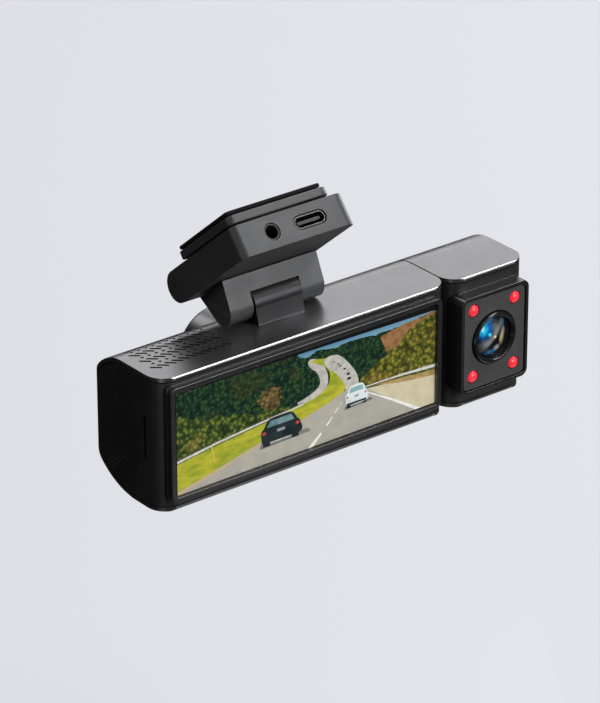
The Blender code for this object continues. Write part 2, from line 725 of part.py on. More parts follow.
def make_lens_frame(axis):
    """The raised frame, whose back follows the pod's round corners, and the plate inside it."""
    outlines = [inset_frame(0.0, 2.0 * MM), inset_frame(LENS_FRAME_RIM, 1.4 * MM)]
    frame = prism("cabin_lens_frame", outlines, "Y", -LENS_FRAME_PROUD, LENS_FRAME_PROUD)
    solid_plan = rounded(POD_START - GAP, POD_END + GAP, -GAP, DEPTH, FRONT_CORNER + GAP, 8)
    cut(frame, prism("pod_solid_plan", solid_plan, "Z", -BEYOND, HEIGHT + BEYOND))
    finish(frame, axis, BODY, SATIN_BLACK)
    lens_hole, led_hole = PLATE_HOLES
    holes = [circle(CABIN_LENS, lens_hole, 28)] + [circle(place, led_hole, 12) for place in led_places()]
    edge = inset_frame(LENS_FRAME_RIM + GAP, 1.2 * MM)
    plate = prism("cabin_lens_plate", [edge] + holes, "Y", *PLATE_DEPTHS)
    finish(plate, axis, BODY, PLATE_GREY)


def make_cabin_lens(axis):
    centre = (CABIN_LENS[0], 0, CABIN_LENS[1])
    profile = [mm(6.6, 3.6), mm(6.6, 1.2), mm(4.9, 1.2), mm(4.9, 2.6), mm(6.0, 4.0)]
    lens_ring = turned("cabin_lens_ring", profile, "-Y", centre, True, 28)
    finish(lens_ring, axis, BODY, SATIN_BLACK)
    barrel = rod("cabin_lens_barrel", *CABIN_BARREL, "-Y", centre)
    finish(barrel, axis, BODY, SATIN_BLACK)
    glass = turned("cabin_lens_glass", dome_profile(*CABIN_GLASS), "-Y", centre)
    finish(glass, axis, BODY, LENS_BLUE)


def make_leds(axis):
    """Four round LEDs that stand on a board behind the plate."""
    foot = [(LED_RADIUS, LED_BASE), (0, LED_BASE)]
    profile = dome_profile(LED_RADIUS, LED_SHOULDER, LED_RISE)[:-1] + foot
    for number, (x, z) in enumerate(led_places(), 1):
        led = turned(f"ir_led_{number}", profile, "-Y", (x, 0, z), False, 12)
        finish(led, axis, BODY, LED_RED)
    outlines = [inset_frame(1.8 * MM, 0.8 * MM, 2), circle(CABIN_LENS, 5.2 * MM, 20)]
    board = prism("ir_led_board", outlines, "Y", *LED_BOARD_DEPTHS)
    finish(board, axis, BODY, BOARD_GREEN)


# ---------------------------------------------------------------- hinge

def meet(point, direction, normal, distance):
    """Where a line from point meets the line normal . p = distance."""
    along = direction[0] * normal[0] + direction[1] * normal[1]
    start = point[0] * normal[0] + point[1] * normal[1]
    step = (distance - start) / along
    return (point[0] + direction[0] * step, point[1] + direction[1] * step)


def bracket_outline():
    """Wedge between the shoe's underside and the round ears about the pin."""
    tilt = math.radians(MOUNT_TILT)
    normal = (math.sin(tilt), math.cos(tilt))
    mount_height = MOUNT_POINT.y * normal[0] + MOUNT_POINT.z * normal[1]
    underside = mount_height + SHOE_BOTTOM - GAP
    lean = math.radians(BRACKET_LEAN)
    rear = math.radians(BRACKET_REAR)
    ears = arc(PIN, EAR_RADIUS, 180 - BRACKET_LEAN, 270 + BRACKET_REAR, 10)
    front = meet(ears[0], (math.sin(lean), math.cos(lean)), normal, underside)
    back = meet(ears[-1], (math.cos(rear), math.sin(rear)), normal, underside)
    return [front] + ears + [back]


def make_bracket(axis):
    """The hinge bracket, notched for the knuckle, and its pin."""
    x0, x1 = BRACKET
    bracket = prism("hinge_bracket", bracket_outline(), "X", x0, x1)
    clearance = KNUCKLE_RADIUS + 0.45 * MM
    y, z = PIN
    cut(bracket, prism("notch_bore", circle(PIN, clearance, 28), "X", *NOTCH))
    cut(bracket, box("notch_mouth", *NOTCH, 0.0, y + clearance * 0.7, z - 8 * MM, z + 1 * MM))
    cut(bracket, box("notch_back", *NOTCH, y, DEPTH + BEYOND, z - 8 * MM, z - 0.5 * MM))
    bore_end = 1.5 * MM
    cut(bracket, rod("bracket_bore", PIN_RADIUS + GAP, x0 + bore_end, x1 - bore_end, "X", (0, y, z), 16))
    for number, (screw_x, screw_y) in enumerate(BRACKET_SCREWS, 1):
        name = f"bracket_screw_hole_{number}"
        hole = rod(name, SCREW_HOLE, SHOE_BOTTOM - 4.5 * MM, SHOE_BOTTOM + 1 * MM, "Z", (0, 0, 0), 12)
        hole.matrix_world = BODY.inverted() @ SHOE_BASE @ Matrix.Translation((screw_x, screw_y, 0))
        cut(bracket, hole)
    finish(bracket, axis, BODY, MOUNT_GREY)
    pin_end = bore_end + GAP
    pin = rod("hinge_pin", PIN_RADIUS, x0 + pin_end, x1 - pin_end, "X", (0, y, z), 16)
    finish(pin, axis, BODY, BARE_STEEL)


def make_knuckle(axis):
    """The knuckle on the camera body, with the sleeve that grips the pin."""
    x0, x1 = NOTCH
    centre = (0, *PIN)
    knuckle = prism("hinge_knuckle", knuckle_outline(), "X", x0 + GAP, x1 - GAP)
    cut(knuckle, rod("knuckle_bore", SLEEVE_RADIUS + GAP, x0 - BEYOND, x1 + BEYOND, "X", centre, 20))
    finish(knuckle, axis, BODY, COVER_GREY)
    side = 0.8 * MM
    ends = (x0 + side, x1 - side)
    sleeve = ring("friction_sleeve", PIN_RADIUS + GAP, SLEEVE_RADIUS, *ends, "X", centre, 20)
    finish(sleeve, axis, BODY, BARE_STEEL)


def knuckle_outline():
    """Round barrel about the pin on a foot that stands on the top cover."""
    foot = HEIGHT + GAP
    barrel = arc(PIN, KNUCKLE_RADIUS, -35, 180, 16)
    return [(9.2 * MM, foot), (19.6 * MM, foot)] + barrel


# ---------------------------------------------------------------- shoe and windscreen base

def shoe_outline():
    middle = (SHOE_TOP + SHOE_BOTTOM) / 2
    radius = (SHOE_TOP - SHOE_BOTTOM) / 2
    tail = arc((TAIL_CENTRE, middle), radius, -90, 90, 12)
    return [(SHOE_FRONT, SHOE_BOTTOM)] + tail + [(SHOE_FRONT, SHOE_TOP)]


def make_shoe(axis):
    x0, x1 = SHOE
    shoe = prism("shoe_housing", shoe_outline(), "X", x0 - GAP, x1 + GAP)
    plan = rounded(x0, x1, SHOE_FRONT, TAIL_CENTRE + BEYOND, SHOE_CORNERS, 4)
    clip(shoe, prism("shoe_plan", plan, "Z", SHOE_BOTTOM - 1 * MM, SHOE_TOP + 1 * MM))
    wall = SHOE_WALL
    hollow = rounded(x0 + wall, x1 - wall, SHOE_FRONT + wall, TAIL_CENTRE, 0.8 * MM, 2)
    cut(shoe, prism("shoe_hollow", hollow, "Z", SHOE_BOTTOM + wall, SHOE_TOP + 1 * MM))
    port = socket_outline(USB_C, *USB_WAY)
    cut(shoe, prism("usb_c_way", port, "Y", SHOE_FRONT - BEYOND, SHOE_FRONT + 2 * wall))
    centre = (JACK[0], 0, JACK[1])
    ends = (-SHOE_FRONT - 2 * wall, -SHOE_FRONT + 1 * MM)
    cut(shoe, rod("jack_way", JACK_RADII[0], *ends, "-Y", centre, 20))
    for number, (x, y) in enumerate(BRACKET_SCREWS, 1):
        name = f"shoe_screw_way_{number}"
        cut(shoe, rod(name, SCREW_HOLE, SHOE_BOTTOM - 1 * MM, SHOE_BOTTOM + 2 * wall, "Z", (x, y, 0), 12))
    finish(shoe, axis, SHOE_BASE, MOUNT_GREY)
    make_shoe_cover(axis)
    board = box("mount_board", *MOUNT_BOARD)
    finish(board, axis, SHOE_BASE, BOARD_GREEN)
    make_usb(axis)
    make_jack(axis)
    for number, place in enumerate(BRACKET_SCREWS, 1):
        make_bracket_screw(f"bracket_screw_{number}", (*place, 0), axis)


def make_shoe_cover(axis):
    """The shoe's lid, with the T-shaped rail that slides in the adhesive plate."""
    x0, x1 = SHOE
    inset = SHOE_WALL + GAP
    ends = (SHOE_FRONT + inset, TAIL_CENTRE - GAP)
    lid = box("shoe_cover", x0 + inset, x1 - inset, *ends, SHOE_TOP - 1.3 * MM, SHOE_TOP)
    start = SHOE_FRONT + 2 * MM
    end = PLATE[3] - 0.4 * MM
    blocks = (("rail_stem", RAIL_STEM, 0.0), ("rail_head", RAIL_HEAD, 0.01 * MM))
    for name, (half, low, high), step in blocks:
        sides = (RAIL_MIDDLE - half, RAIL_MIDDLE + half)
        join(lid, box(name, *sides, start + step, end - step, low, high))
    finish(lid, axis, SHOE_BASE, MATT_BLACK)


def make_bracket_screw(name, place, axis):
    neck = SHOE_BOTTOM + SHOE_WALL + 0.05 * MM
    face = neck + 0.9 * MM
    tip = SHOE_BOTTOM - 4.0 * MM
    head_radius = 1.5 * MM
    head = [(0, face), (head_radius, face), (head_radius, neck)]
    shank = [(SCREW_SHANK, neck), (SCREW_SHANK, tip), (0, tip)]
    piece = turned(name, head + shank, "Z", place, False, 12)
    finish(piece, axis, SHOE_BASE, BARE_STEEL)


def socket_outline(centre, half_length, half_height):
    x, z = centre
    radius = half_height - 0.01 * MM
    return rounded(x - half_length, x + half_length, z - half_height, z + half_height, radius, 6)


def make_usb(axis):
    """USB-C socket: a shell open at the front, with a tongue down its middle."""
    front = SHOE_FRONT + SOCKET_INSET
    length, depth = USB_DEPTHS
    shell = prism("usb_c_shell", socket_outline(USB_C, *USB_SHELL), "Y", front, front + length)
    mouth = socket_outline(USB_C, *USB_MOUTH)
    cut(shell, prism("usb_c_hollow", mouth, "Y", front - BEYOND, front + depth))
    finish(shell, axis, SHOE_BASE, BARE_STEEL)
    x, z = USB_C
    half_width, half_height = USB_TONGUE
    ends = (front + 0.6 * MM, front + depth - GAP)
    tongue = box("usb_c_tongue", x - half_width, x + half_width, *ends, z - half_height, z + half_height)
    finish(tongue, axis, SHOE_BASE, MATT_BLACK)


def make_jack(axis):
    """AV jack socket: a collar in the front wall."""
    front = SHOE_FRONT + SOCKET_INSET
    centre = (JACK[0], 0, JACK[1])
    collar = rod("av_jack_socket", JACK_RADII[1], -front - JACK_LENGTH, -front, "-Y", centre, 20)
    bore = rod("jack_bore", JACK_RADII[2], -front - 2 * JACK_LENGTH, -front + 1 * MM, "-Y", centre, 16)
    cut(collar, bore)
    finish(collar, axis, SHOE_BASE, SATIN_BLACK)


def make_base(axis):
    """The adhesive plate, slotted for the rail, and its foam pad."""
    x0, x1, y0, y1 = PLATE
    plan = rounded(x0, x1, y0, y1, PLATE_CORNERS, 4)
    plate = prism("adhesive_plate", plan, "Z", *PLATE_HEIGHTS)
    start = y0 + 1.6 * MM
    end = y1 + 2 * MM
    blocks = (("slot_mouth", SLOT_MOUTH, 0.0), ("slot_wide", SLOT_WIDE, 0.01 * MM))
    for name, (half, low, high), step in blocks:
        sides = (RAIL_MIDDLE - half, RAIL_MIDDLE + half)
        cut(plate, box(name, *sides, start + step, end + step, low, high))
    finish(plate, axis, SHOE_BASE, MOUNT_GREY)
    pad = prism("adhesive_pad", rounded(*PAD, 1.2 * MM, 3), "Z", -PAD_THICKNESS, 0.0)
    finish(pad, axis, SHOE_BASE, FOAM_BLACK)


# ---------------------------------------------------------------- assembly

def hang(child, parent):
    child.parent = parent
    child.matrix_parent_inverse = parent.matrix_world.inverted()


def make_buttons(body_axis):
    for number, name in enumerate(BUTTON_NAMES):
        x = BUTTON_FIRST + number * BUTTON_PITCH
        axis = axis_empty(f"{name}_axis", (x, BUTTON_ROW, 0), BODY)
        hang(axis, body_axis)
        bpy.context.view_layer.update()
        make_button(f"{name}_button", x, axis)


def build():
    base_axis = axis_empty("windscreen_face", (0, 0, 0), SHOE_BASE)
    shoe_axis = axis_empty("slide_axis", (0, 0, SHOE_TOP), SHOE_BASE)
    body_axis = axis_empty("tilt_axis", ((NOTCH[0] + NOTCH[1]) / 2, *PIN), BODY)
    pod_axis = axis_empty("pod_axis", (BODY_LENGTH, *PIVOT), BODY)
    card_axis = axis_empty("card_axis", (0, CARD_PLANE, sum(CARD_HEIGHTS) / 2), BODY)
    hang(shoe_axis, base_axis)
    hang(body_axis, shoe_axis)
    hang(pod_axis, body_axis)
    hang(card_axis, body_axis)
    bpy.context.view_layer.update()
    make_base(base_axis)
    make_shoe(shoe_axis)
    make_bracket(shoe_axis)
    make_knuckle(body_axis)
    make_body(body_axis)
    make_screen(body_axis)
    make_boards(body_axis)
    make_card_socket(body_axis)
    make_front_camera(body_axis)
    for number, (x, y) in enumerate(screw_places(), 1):
        make_screw(f"body_screw_{number}", (x, y, 0), body_axis)
    make_buttons(body_axis)
    make_card(card_axis)
    make_pod(pod_axis, body_axis)


clear_scene()
PARTS = new_collection("dash_camera")
CUTTERS = new_collection("cutters")
SHOE_BASE = Matrix.Rotation(math.radians(-MOUNT_TILT), 4, "X")
BODY = Matrix.Translation(-MOUNT_POINT)
build()
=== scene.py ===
"""The finished look of the dash camera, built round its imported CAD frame.

Body coordinates run in metres from the bar's lower left front corner: x along the bar, y towards
the road, z up. Shoe coordinates have the adhesive face as zero and z square to the windscreen.
"""
import json
import math
import random

import bmesh
import bpy
from mathutils import Euler, Matrix, Vector


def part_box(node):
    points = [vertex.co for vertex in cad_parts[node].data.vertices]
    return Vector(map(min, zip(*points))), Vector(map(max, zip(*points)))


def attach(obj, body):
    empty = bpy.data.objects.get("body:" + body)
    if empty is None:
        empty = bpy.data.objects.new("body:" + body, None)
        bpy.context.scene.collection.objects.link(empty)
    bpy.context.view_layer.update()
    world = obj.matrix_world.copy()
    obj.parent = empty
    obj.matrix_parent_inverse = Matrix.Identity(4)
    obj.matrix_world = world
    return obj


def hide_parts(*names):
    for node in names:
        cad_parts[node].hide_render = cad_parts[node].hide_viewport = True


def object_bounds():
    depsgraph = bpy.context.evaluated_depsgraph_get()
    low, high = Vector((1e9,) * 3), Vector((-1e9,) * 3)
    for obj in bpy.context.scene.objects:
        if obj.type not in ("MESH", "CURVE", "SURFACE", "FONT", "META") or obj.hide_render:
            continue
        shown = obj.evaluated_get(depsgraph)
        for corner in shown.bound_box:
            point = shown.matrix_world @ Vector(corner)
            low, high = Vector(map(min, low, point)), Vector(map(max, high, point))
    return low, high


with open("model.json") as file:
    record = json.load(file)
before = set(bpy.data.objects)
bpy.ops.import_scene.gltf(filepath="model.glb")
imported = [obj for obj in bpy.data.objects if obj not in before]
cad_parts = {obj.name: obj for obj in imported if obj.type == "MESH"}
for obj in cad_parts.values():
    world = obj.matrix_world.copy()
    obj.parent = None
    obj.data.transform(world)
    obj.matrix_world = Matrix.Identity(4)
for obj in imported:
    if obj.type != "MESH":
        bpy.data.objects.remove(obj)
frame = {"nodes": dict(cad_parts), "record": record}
CAD_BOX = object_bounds()

MM = 0.001
GAP = 0.3 * MM
ORIGIN = Vector((39.2, 16.8, 59.0)) * MM
BODY = Matrix.Translation(-ORIGIN)
SHOE = Matrix.Rotation(math.radians(-40), 4, "X")

LENGTH = 85.5 * MM
POD_START = 85.9 * MM
POD_END = 110.0 * MM
DEPTH = 26.7 * MM
HEIGHT = 34.0 * MM
TOP_RADIUS = 12.4 * MM
BELLY_START = 9.5 * MM
BELLY_RADIUS = 20.0 * MM
BELLY_SWEEP = 43.0
SKIN = 1.0 * MM
TOP_SEAM = 21.0 * MM
FLOOR_SEAM = 9.0 * MM
WALL = 1.8 * MM
FRONT_WALL = 2.4 * MM
BEZEL = (2.1 * MM, 82.1 * MM, 3.1 * MM, 31.85 * MM)
PIN = (14.4 * MM, 38.0 * MM)
PIVOT = (13.0 * MM, 17.5 * MM)
FRONT_LENS = (42.4 * MM, 17.0 * MM)
FRONT_END = 36.5 * MM
CABIN_LENS = (96.9 * MM, 17.7 * MM)
LENS_FRAME = (86.6 * MM, 107.5 * MM, 4.7 * MM, 30.2 * MM)
BRACKET = (28.6 * MM, 56.2 * MM)
NOTCH = (35.3 * MM, 49.5 * MM)
SHOE_X = (-14.3 * MM, 18.7 * MM)
SHOE_FRONT = -11.45 * MM
SHOE_TOP = -3.7 * MM
SHOE_BOTTOM = -11.6 * MM
TAIL = 19.0 * MM
PLATE = (-14.0 * MM, 15.4 * MM, -11.45 * MM, 13.25 * MM)
PAD = (-13.8 * MM, 13.6 * MM, -11.25 * MM, 12.95 * MM)
USB = (6.7 * MM, -7.65 * MM)
JACK = (-4.25 * MM, -7.65 * MM)
BAR_CORNER = 3.5 * MM
POD_CORNER = 6.0 * MM
FRONT_BORE = 6.3 * MM
LED_OFFSET = (6.4 * MM, 8.7 * MM)
BUTTON_NAMES = ("power", "menu", "up", "down")
BUTTON_PLACES = tuple((30 + 8 * number) * MM for number in range(4))
BUTTON_ROW = 5 * MM
BUTTON_HALF = (3.0 * MM, 1.5 * MM)
SCREW_PLACES = [(x, y) for x in (4.1 * MM, 81.4 * MM) for y in (6.0 * MM, 13.0 * MM)]
SHARP_ANGLE = 40
PAST = 5 * MM  # how far a cutter runs past what it cuts


# ---------------------------------------------------------------- outlines

def arc(centre, radius, start, end, steps):
    points = []
    for step in range(steps + 1):
        angle = math.radians(start + (end - start) * step / steps)
        points.append((centre[0] + radius * math.cos(angle), centre[1] + radius * math.sin(angle)))
    return points


def circle(centre, radius, steps=48):
    return arc(centre, radius, 0, 360, steps)[:-1]


def rounded(x0, x1, y0, y1, radii, steps=10):
    if isinstance(radii, float):
        radii = (radii,) * 4
    corners = ((x0, y0, 1, 1, 180), (x1, y0, -1, 1, 270), (x1, y1, -1, -1, 0), (x0, y1, 1, -1, 90))
    points = []
    for (x, y, sx, sy, start), radius in zip(corners, radii):
        points += arc((x + sx * radius, y + sy * radius), radius, start, start + 90, steps)
    return points


def shrunk(edges, margins, radius, steps):
    """A rounded outline inside four edges, each moved in by its margin; margins and radius in mm."""
    x0, x1, y0, y1 = edges
    left, right, low, high = margins if isinstance(margins, tuple) else (margins,) * 4
    return rounded(x0 + left * MM, x1 - right * MM, y0 + low * MM, y1 - high * MM, radius * MM, steps)


def mm(points):
    return [(a * MM, b * MM) for a, b in points]


def heel():
    """Centre and radius of the arc that turns the belly up into the upright back."""
    sweep = math.radians(BELLY_SWEEP)
    y = BELLY_START + BELLY_RADIUS * math.sin(sweep)
    z = BELLY_RADIUS * (1 - math.cos(sweep))
    radius = (DEPTH - y) / (1 - math.sin(sweep))
    return (DEPTH - radius, z + radius * math.cos(sweep)), radius


def heel_angle(level, inset):
    centre, radius = heel()
    return math.degrees(math.asin((level - centre[1]) / (radius - inset)))


def top_edge(inset, steps=40):
    centre = (DEPTH - TOP_RADIUS, HEIGHT - TOP_RADIUS)
    return [(0.0, HEIGHT - inset)] + arc(centre, TOP_RADIUS - inset, 90, 0, steps) + [(DEPTH - inset, TOP_SEAM)]


def bottom_edge(inset, level, steps=24):
    centre, radius = heel()
    belly = arc((BELLY_START, BELLY_RADIUS), BELLY_RADIUS - inset, -90, BELLY_SWEEP - 90, steps)
    back = arc(centre, radius - inset, BELLY_SWEEP - 90, heel_angle(level, inset), 10)
    return [(0.0, inset)] + belly + back[1:]


def middle_outline():
    inset = SKIN + GAP
    centre, radius = heel()
    level = FLOOR_SEAM + GAP
    upright = arc(centre, radius, heel_angle(level, 0.0), 0, 10)
    top = [(DEPTH - inset, TOP_SEAM - GAP)] + top_edge(inset)[-2::-1]
    return bottom_edge(inset, level) + upright + [(DEPTH, TOP_SEAM - GAP)] + top


def plan_outline(x0, x1, back_right):
    return rounded(x0, x1, 0.0, DEPTH, (5 * MM, 5 * MM, back_right, BAR_CORNER), 24)


# ---------------------------------------------------------------- solids

TURNS = {
    "X": Euler((math.radians(90), 0, math.radians(90))).to_matrix().to_4x4(),
    "Y": Euler((math.radians(90), 0, 0)).to_matrix().to_4x4(),
    "Z": Matrix.Identity(4),
}
AXES = {"X": Vector((1, 0, 0)), "Y": Vector((0, 1, 0)), "Z": Vector((0, 0, 1))}
SPINS = {"X": (0, 90, 0), "-Y": (90, 0, 0), "Y": (-90, 0, 0), "Z": (0, 0, 0)}


def mesh_object(name, mesh):
    piece = bpy.data.objects.new(name, mesh)
    bpy.context.scene.collection.objects.link(piece)
    return piece


def from_shape(name, shape):
    """An object made of an edited mesh, which is then freed."""
    mesh = bpy.data.meshes.new(name)
    shape.to_mesh(mesh)
    shape.free()
    return mesh_object(name, mesh)


def settle(piece):
    """Applies the piece's modifiers to its mesh."""
    bpy.context.view_layer.update()
    evaluated = piece.evaluated_get(bpy.context.evaluated_depsgraph_get())
    mesh = bpy.data.meshes.new_from_object(evaluated)
    old = piece.data
    piece.modifiers.clear()
    piece.data = mesh
    bpy.data.meshes.remove(old)


def prism(name, outlines, axis, low, high):
    """A flat outline with holes, drawn out along an axis from low to high."""
    if isinstance(outlines[0][0], float):
        outlines = [outlines]
    curve = bpy.data.curves.new(name, "CURVE")
    curve.dimensions = "2D"
    curve.fill_mode = "BOTH"
    curve.extrude = (high - low) / 2
    for outline in outlines:
        spline = curve.splines.new("POLY")
        spline.points.add(len(outline) - 1)
        spline.use_cyclic_u = True
        for point, (x, y) in zip(spline.points, outline):
            point.co = (x, y, 0, 1)
    guide = bpy.data.objects.new(name, curve)
    bpy.context.scene.collection.objects.link(guide)
    bpy.context.view_layer.update()
    mesh = bpy.data.meshes.new_from_object(guide.evaluated_get(bpy.context.evaluated_depsgraph_get()))
    bpy.data.objects.remove(guide)
    bpy.data.curves.remove(curve)
    shape = bmesh.new()
    shape.from_mesh(mesh)
    bmesh.ops.remove_doubles(shape, verts=shape.verts, dist=0.001 * MM)
    edges = [edge for edge in shape.edges if any(abs(face.normal.z) > 0.99 for face in edge.link_faces)]
    edges.sort(key=lambda edge: -edge.calc_length())
    bmesh.ops.dissolve_limit(shape, angle_limit=0.001, verts=[], edges=edges, delimit={"NORMAL"})
    bmesh.ops.recalc_face_normals(shape, faces=shape.faces)
    shape.transform(Matrix.Translation(AXES[axis] * (low + high) / 2) @ TURNS[axis])
    shape.to_mesh(mesh)
    shape.free()
    return mesh_object(name, mesh)


def lofted(name, rings, triangles=False):
    """A closed body through rings of points, with a face over each end."""
    shape = bmesh.new()
    loops = [[shape.verts.new(point) for point in ring] for ring in rings]
    for low, high in zip(loops, loops[1:]):
        for i in range(len(low)):
            j = (i + 1) % len(low)
            shape.faces.new((low[i], low[j], high[j], high[i]))
    shape.faces.new(loops[0][::-1])
    shape.faces.new(loops[-1])
    if triangles:
        bmesh.ops.triangulate(shape, faces=[f for f in shape.faces if len(f.verts) > 4])
    bmesh.ops.recalc_face_normals(shape, faces=shape.faces)
    return from_shape(name, shape)


def turned(name, profile, axis, centre, closed=False, steps=64):
    """A profile of (radius, height) points turned about an axis through centre."""
    mesh = bpy.data.meshes.new(name)
    count = len(profile)
    edges = [(i, i + 1) for i in range(count - 1)]
    if closed:
        edges.append((count - 1, 0))
    mesh.from_pydata([(radius, 0, height) for radius, height in profile], edges, [])
    piece = mesh_object(name, mesh)
    screw = piece.modifiers.new("turn", "SCREW")
    screw.steps = steps
    screw.render_steps = steps
    screw.use_merge_vertices = True
    screw.merge_threshold = 0.001 * MM
    settle(piece)
    spin = Euler([math.radians(a) for a in SPINS[axis]]).to_matrix().to_4x4()
    piece.data.transform(Matrix.Translation(centre) @ spin)
    return piece


def rod(name, radius, low, high, axis, centre, steps=64):
    """A solid rod along an axis through centre."""
    return turned(name, [(0, high), (radius, high), (radius, low), (0, low)], axis, centre, False, steps)


def box(name, x0, x1, y0, y1, z0, z1):
    shape = bmesh.new()
    bmesh.ops.create_cube(shape, size=1.0)
    bmesh.ops.scale(shape, vec=(x1 - x0, y1 - y0, z1 - z0), verts=shape.verts)
    bmesh.ops.translate(shape, vec=((x0 + x1) / 2, (y0 + y1) / 2, (z0 + z1) / 2), verts=shape.verts)
    return from_shape(name, shape)


def merged(name, pieces):
    """Loose pieces put in one mesh."""
    shape = bmesh.new()
    for piece in pieces:
        shape.from_mesh(piece.data)
        bpy.data.objects.remove(piece)
    return from_shape(name, shape)


def combine(piece, tool, operation):
    """Joins, cuts or clips a piece with a tool, which is used up."""
    modifier = piece.modifiers.new("combine", "BOOLEAN")
    modifier.object = tool
    modifier.operation = operation
    settle(piece)
    bpy.data.objects.remove(tool)


def cut(piece, tool):
    combine(piece, tool, "DIFFERENCE")


def join(piece, tool):
    combine(piece, tool, "UNION")


def clip(piece, tool):
    combine(piece, tool, "INTERSECT")


def clean(piece, angle=0.3):
    """Merges doubled points and dissolves flat edges."""
    shape = bmesh.new()
    shape.from_mesh(piece.data)
    bmesh.ops.remove_doubles(shape, verts=shape.verts, dist=0.003 * MM)
    bmesh.ops.dissolve_limit(shape, angle_limit=math.radians(angle), verts=shape.verts, edges=shape.edges)
    shape.to_mesh(piece.data)
    shape.free()


def give_materials(piece, names):
    for name in names:
        piece.data.materials.append(MATERIALS[name])


def bevel(piece, width, segments=3):
    clean(piece)
    modifier = piece.modifiers.new("bevel", "BEVEL")
    modifier.width = width * MM
    modifier.segments = segments
    modifier.limit_method = "ANGLE"
    modifier.angle_limit = math.radians(35)
    modifier.miter_outer = "MITER_ARC"
    settle(piece)


def ready(piece, matrix, body, finishes, slot, *nodes):
    """Puts a piece in the shared frame, shades it, and hangs it on its body."""
    piece.data.transform(matrix)
    piece.data.shade_smooth()
    piece.data.set_sharp_from_angle(angle=math.radians(SHARP_ANGLE))
    weighted = piece.modifiers.new("even normals", "WEIGHTED_NORMAL")
    weighted.keep_sharp = True
    weighted.weight = 80
    indices = [polygon.material_index for polygon in piece.data.polygons]
    piece.data.materials.clear()
    give_materials(piece, (finishes,) if isinstance(finishes, str) else finishes)
    piece.data.polygons.foreach_set("material_index", indices)
    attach(piece, body)
    if nodes:
        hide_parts(*nodes)


# ---------------------------------------------------------------- materials

def new_material(name):
    material = bpy.data.materials.new(name)
    material.use_nodes = True
    tree = material.node_tree
    return material, tree, tree.nodes["Principled BSDF"]


def feed(tree, target, inputs):
    """Sets each input to a value, or links another node's output to it."""
    for key, value in inputs.items():
        if isinstance(value, bpy.types.NodeSocket):
            tree.links.new(value, target.inputs[key])
        else:
            target.inputs[key].default_value = value
    return target


def node(tree, kind, inputs, **settings):
    made = tree.nodes.new("ShaderNode" + kind)
    for key, value in settings.items():
        setattr(made, key, value)
    return feed(tree, made, inputs)


def place_on(tree):
    """The point on the piece itself, in metres."""
    return tree.nodes.new("ShaderNodeTexCoord").outputs["Object"]


def noise(tree, scale, detail=3.0, rough=0.5, stretch=None):
    source = place_on(tree)
    if stretch:
        source = node(tree, "Mapping", {"Vector": source, "Scale": stretch}).outputs["Vector"]
    inputs = {"Vector": source, "Scale": scale, "Detail": detail, "Roughness": rough}
    return node(tree, "TexNoise", inputs).outputs["Fac"]


def ramp(tree, source, stops):
    made = node(tree, "ValToRGB", {"Fac": source})
    elements = made.color_ramp.elements
    while len(elements) < len(stops):
        elements.new(0.5)
    for element, (position, colour) in zip(elements, stops):
        element.position = position
        element.color = (*colour, 1)
    return made.outputs["Color"]


def span(tree, source, low, high, start=0.0, end=1.0):
    inputs = {"Value": source, "From Min": start, "From Max": end, "To Min": low, "To Max": high}
    return node(tree, "MapRange", inputs).outputs["Result"]


def bump(tree, shader, height, strength, distance):
    made = node(tree, "Bump", {"Height": height, "Strength": strength, "Distance": distance * MM})
    tree.links.new(made.outputs["Normal"], shader.inputs["Normal"])


def mixed(tree, factor, first, second, blend="MIX"):
    inputs = {"Factor": factor, "A": first, "B": second}
    return node(tree, "Mix", inputs, data_type="RGBA", blend_type=blend).outputs["Result"]


def edge_wear(tree, base, amount, light):
    """Mixes a lighter tone in along convex edges."""
    geometry = tree.nodes.new("ShaderNodeNewGeometry")
    mask = span(tree, geometry.outputs["Pointiness"], 0.0, amount, 0.51, 0.60)
    return mixed(tree, mask, base, (*light, 1))


def plastic(name, colour, roughness, grain, depth, metallic=0.0, wear=0.15, vary=0.12, specular=0.5):
    """Moulded or painted plastic: a fine grain, uneven tone and gloss, and lighter worn edges."""
    material, tree, shader = new_material(name)
    dark = tuple(c * (1 - vary) for c in colour)
    light = tuple(min(1, c * (1 + vary)) for c in colour)
    tone = ramp(tree, noise(tree, 60.0, 4.0, 0.6), [(0.3, dark), (0.7, light)])
    gloss = span(tree, noise(tree, 220.0, 3.0, 0.6), roughness * 0.88, roughness * 1.12, 0.3, 0.7)
    feed(tree, shader, {
        "Base Color": edge_wear(tree, tone, wear, [min(1, c * 2.2 + 0.02) for c in colour]),
        "Roughness": gloss, "Metallic": metallic, "Specular IOR Level": specular})
    bump(tree, shader, noise(tree, grain, 2.0, 0.5), 0.5, depth)
    return material


def glowing(name, colour_of):
    """A lit display colour: the same tone as paint and as light."""
    material, tree, shader = new_material(name)
    colour = colour_of(tree)
    feed(tree, shader, {
        "Base Color": colour, "Emission Color": colour, "Emission Strength": 0.55,
        "Roughness": 0.5, "Specular IOR Level": 0.1})
    return material


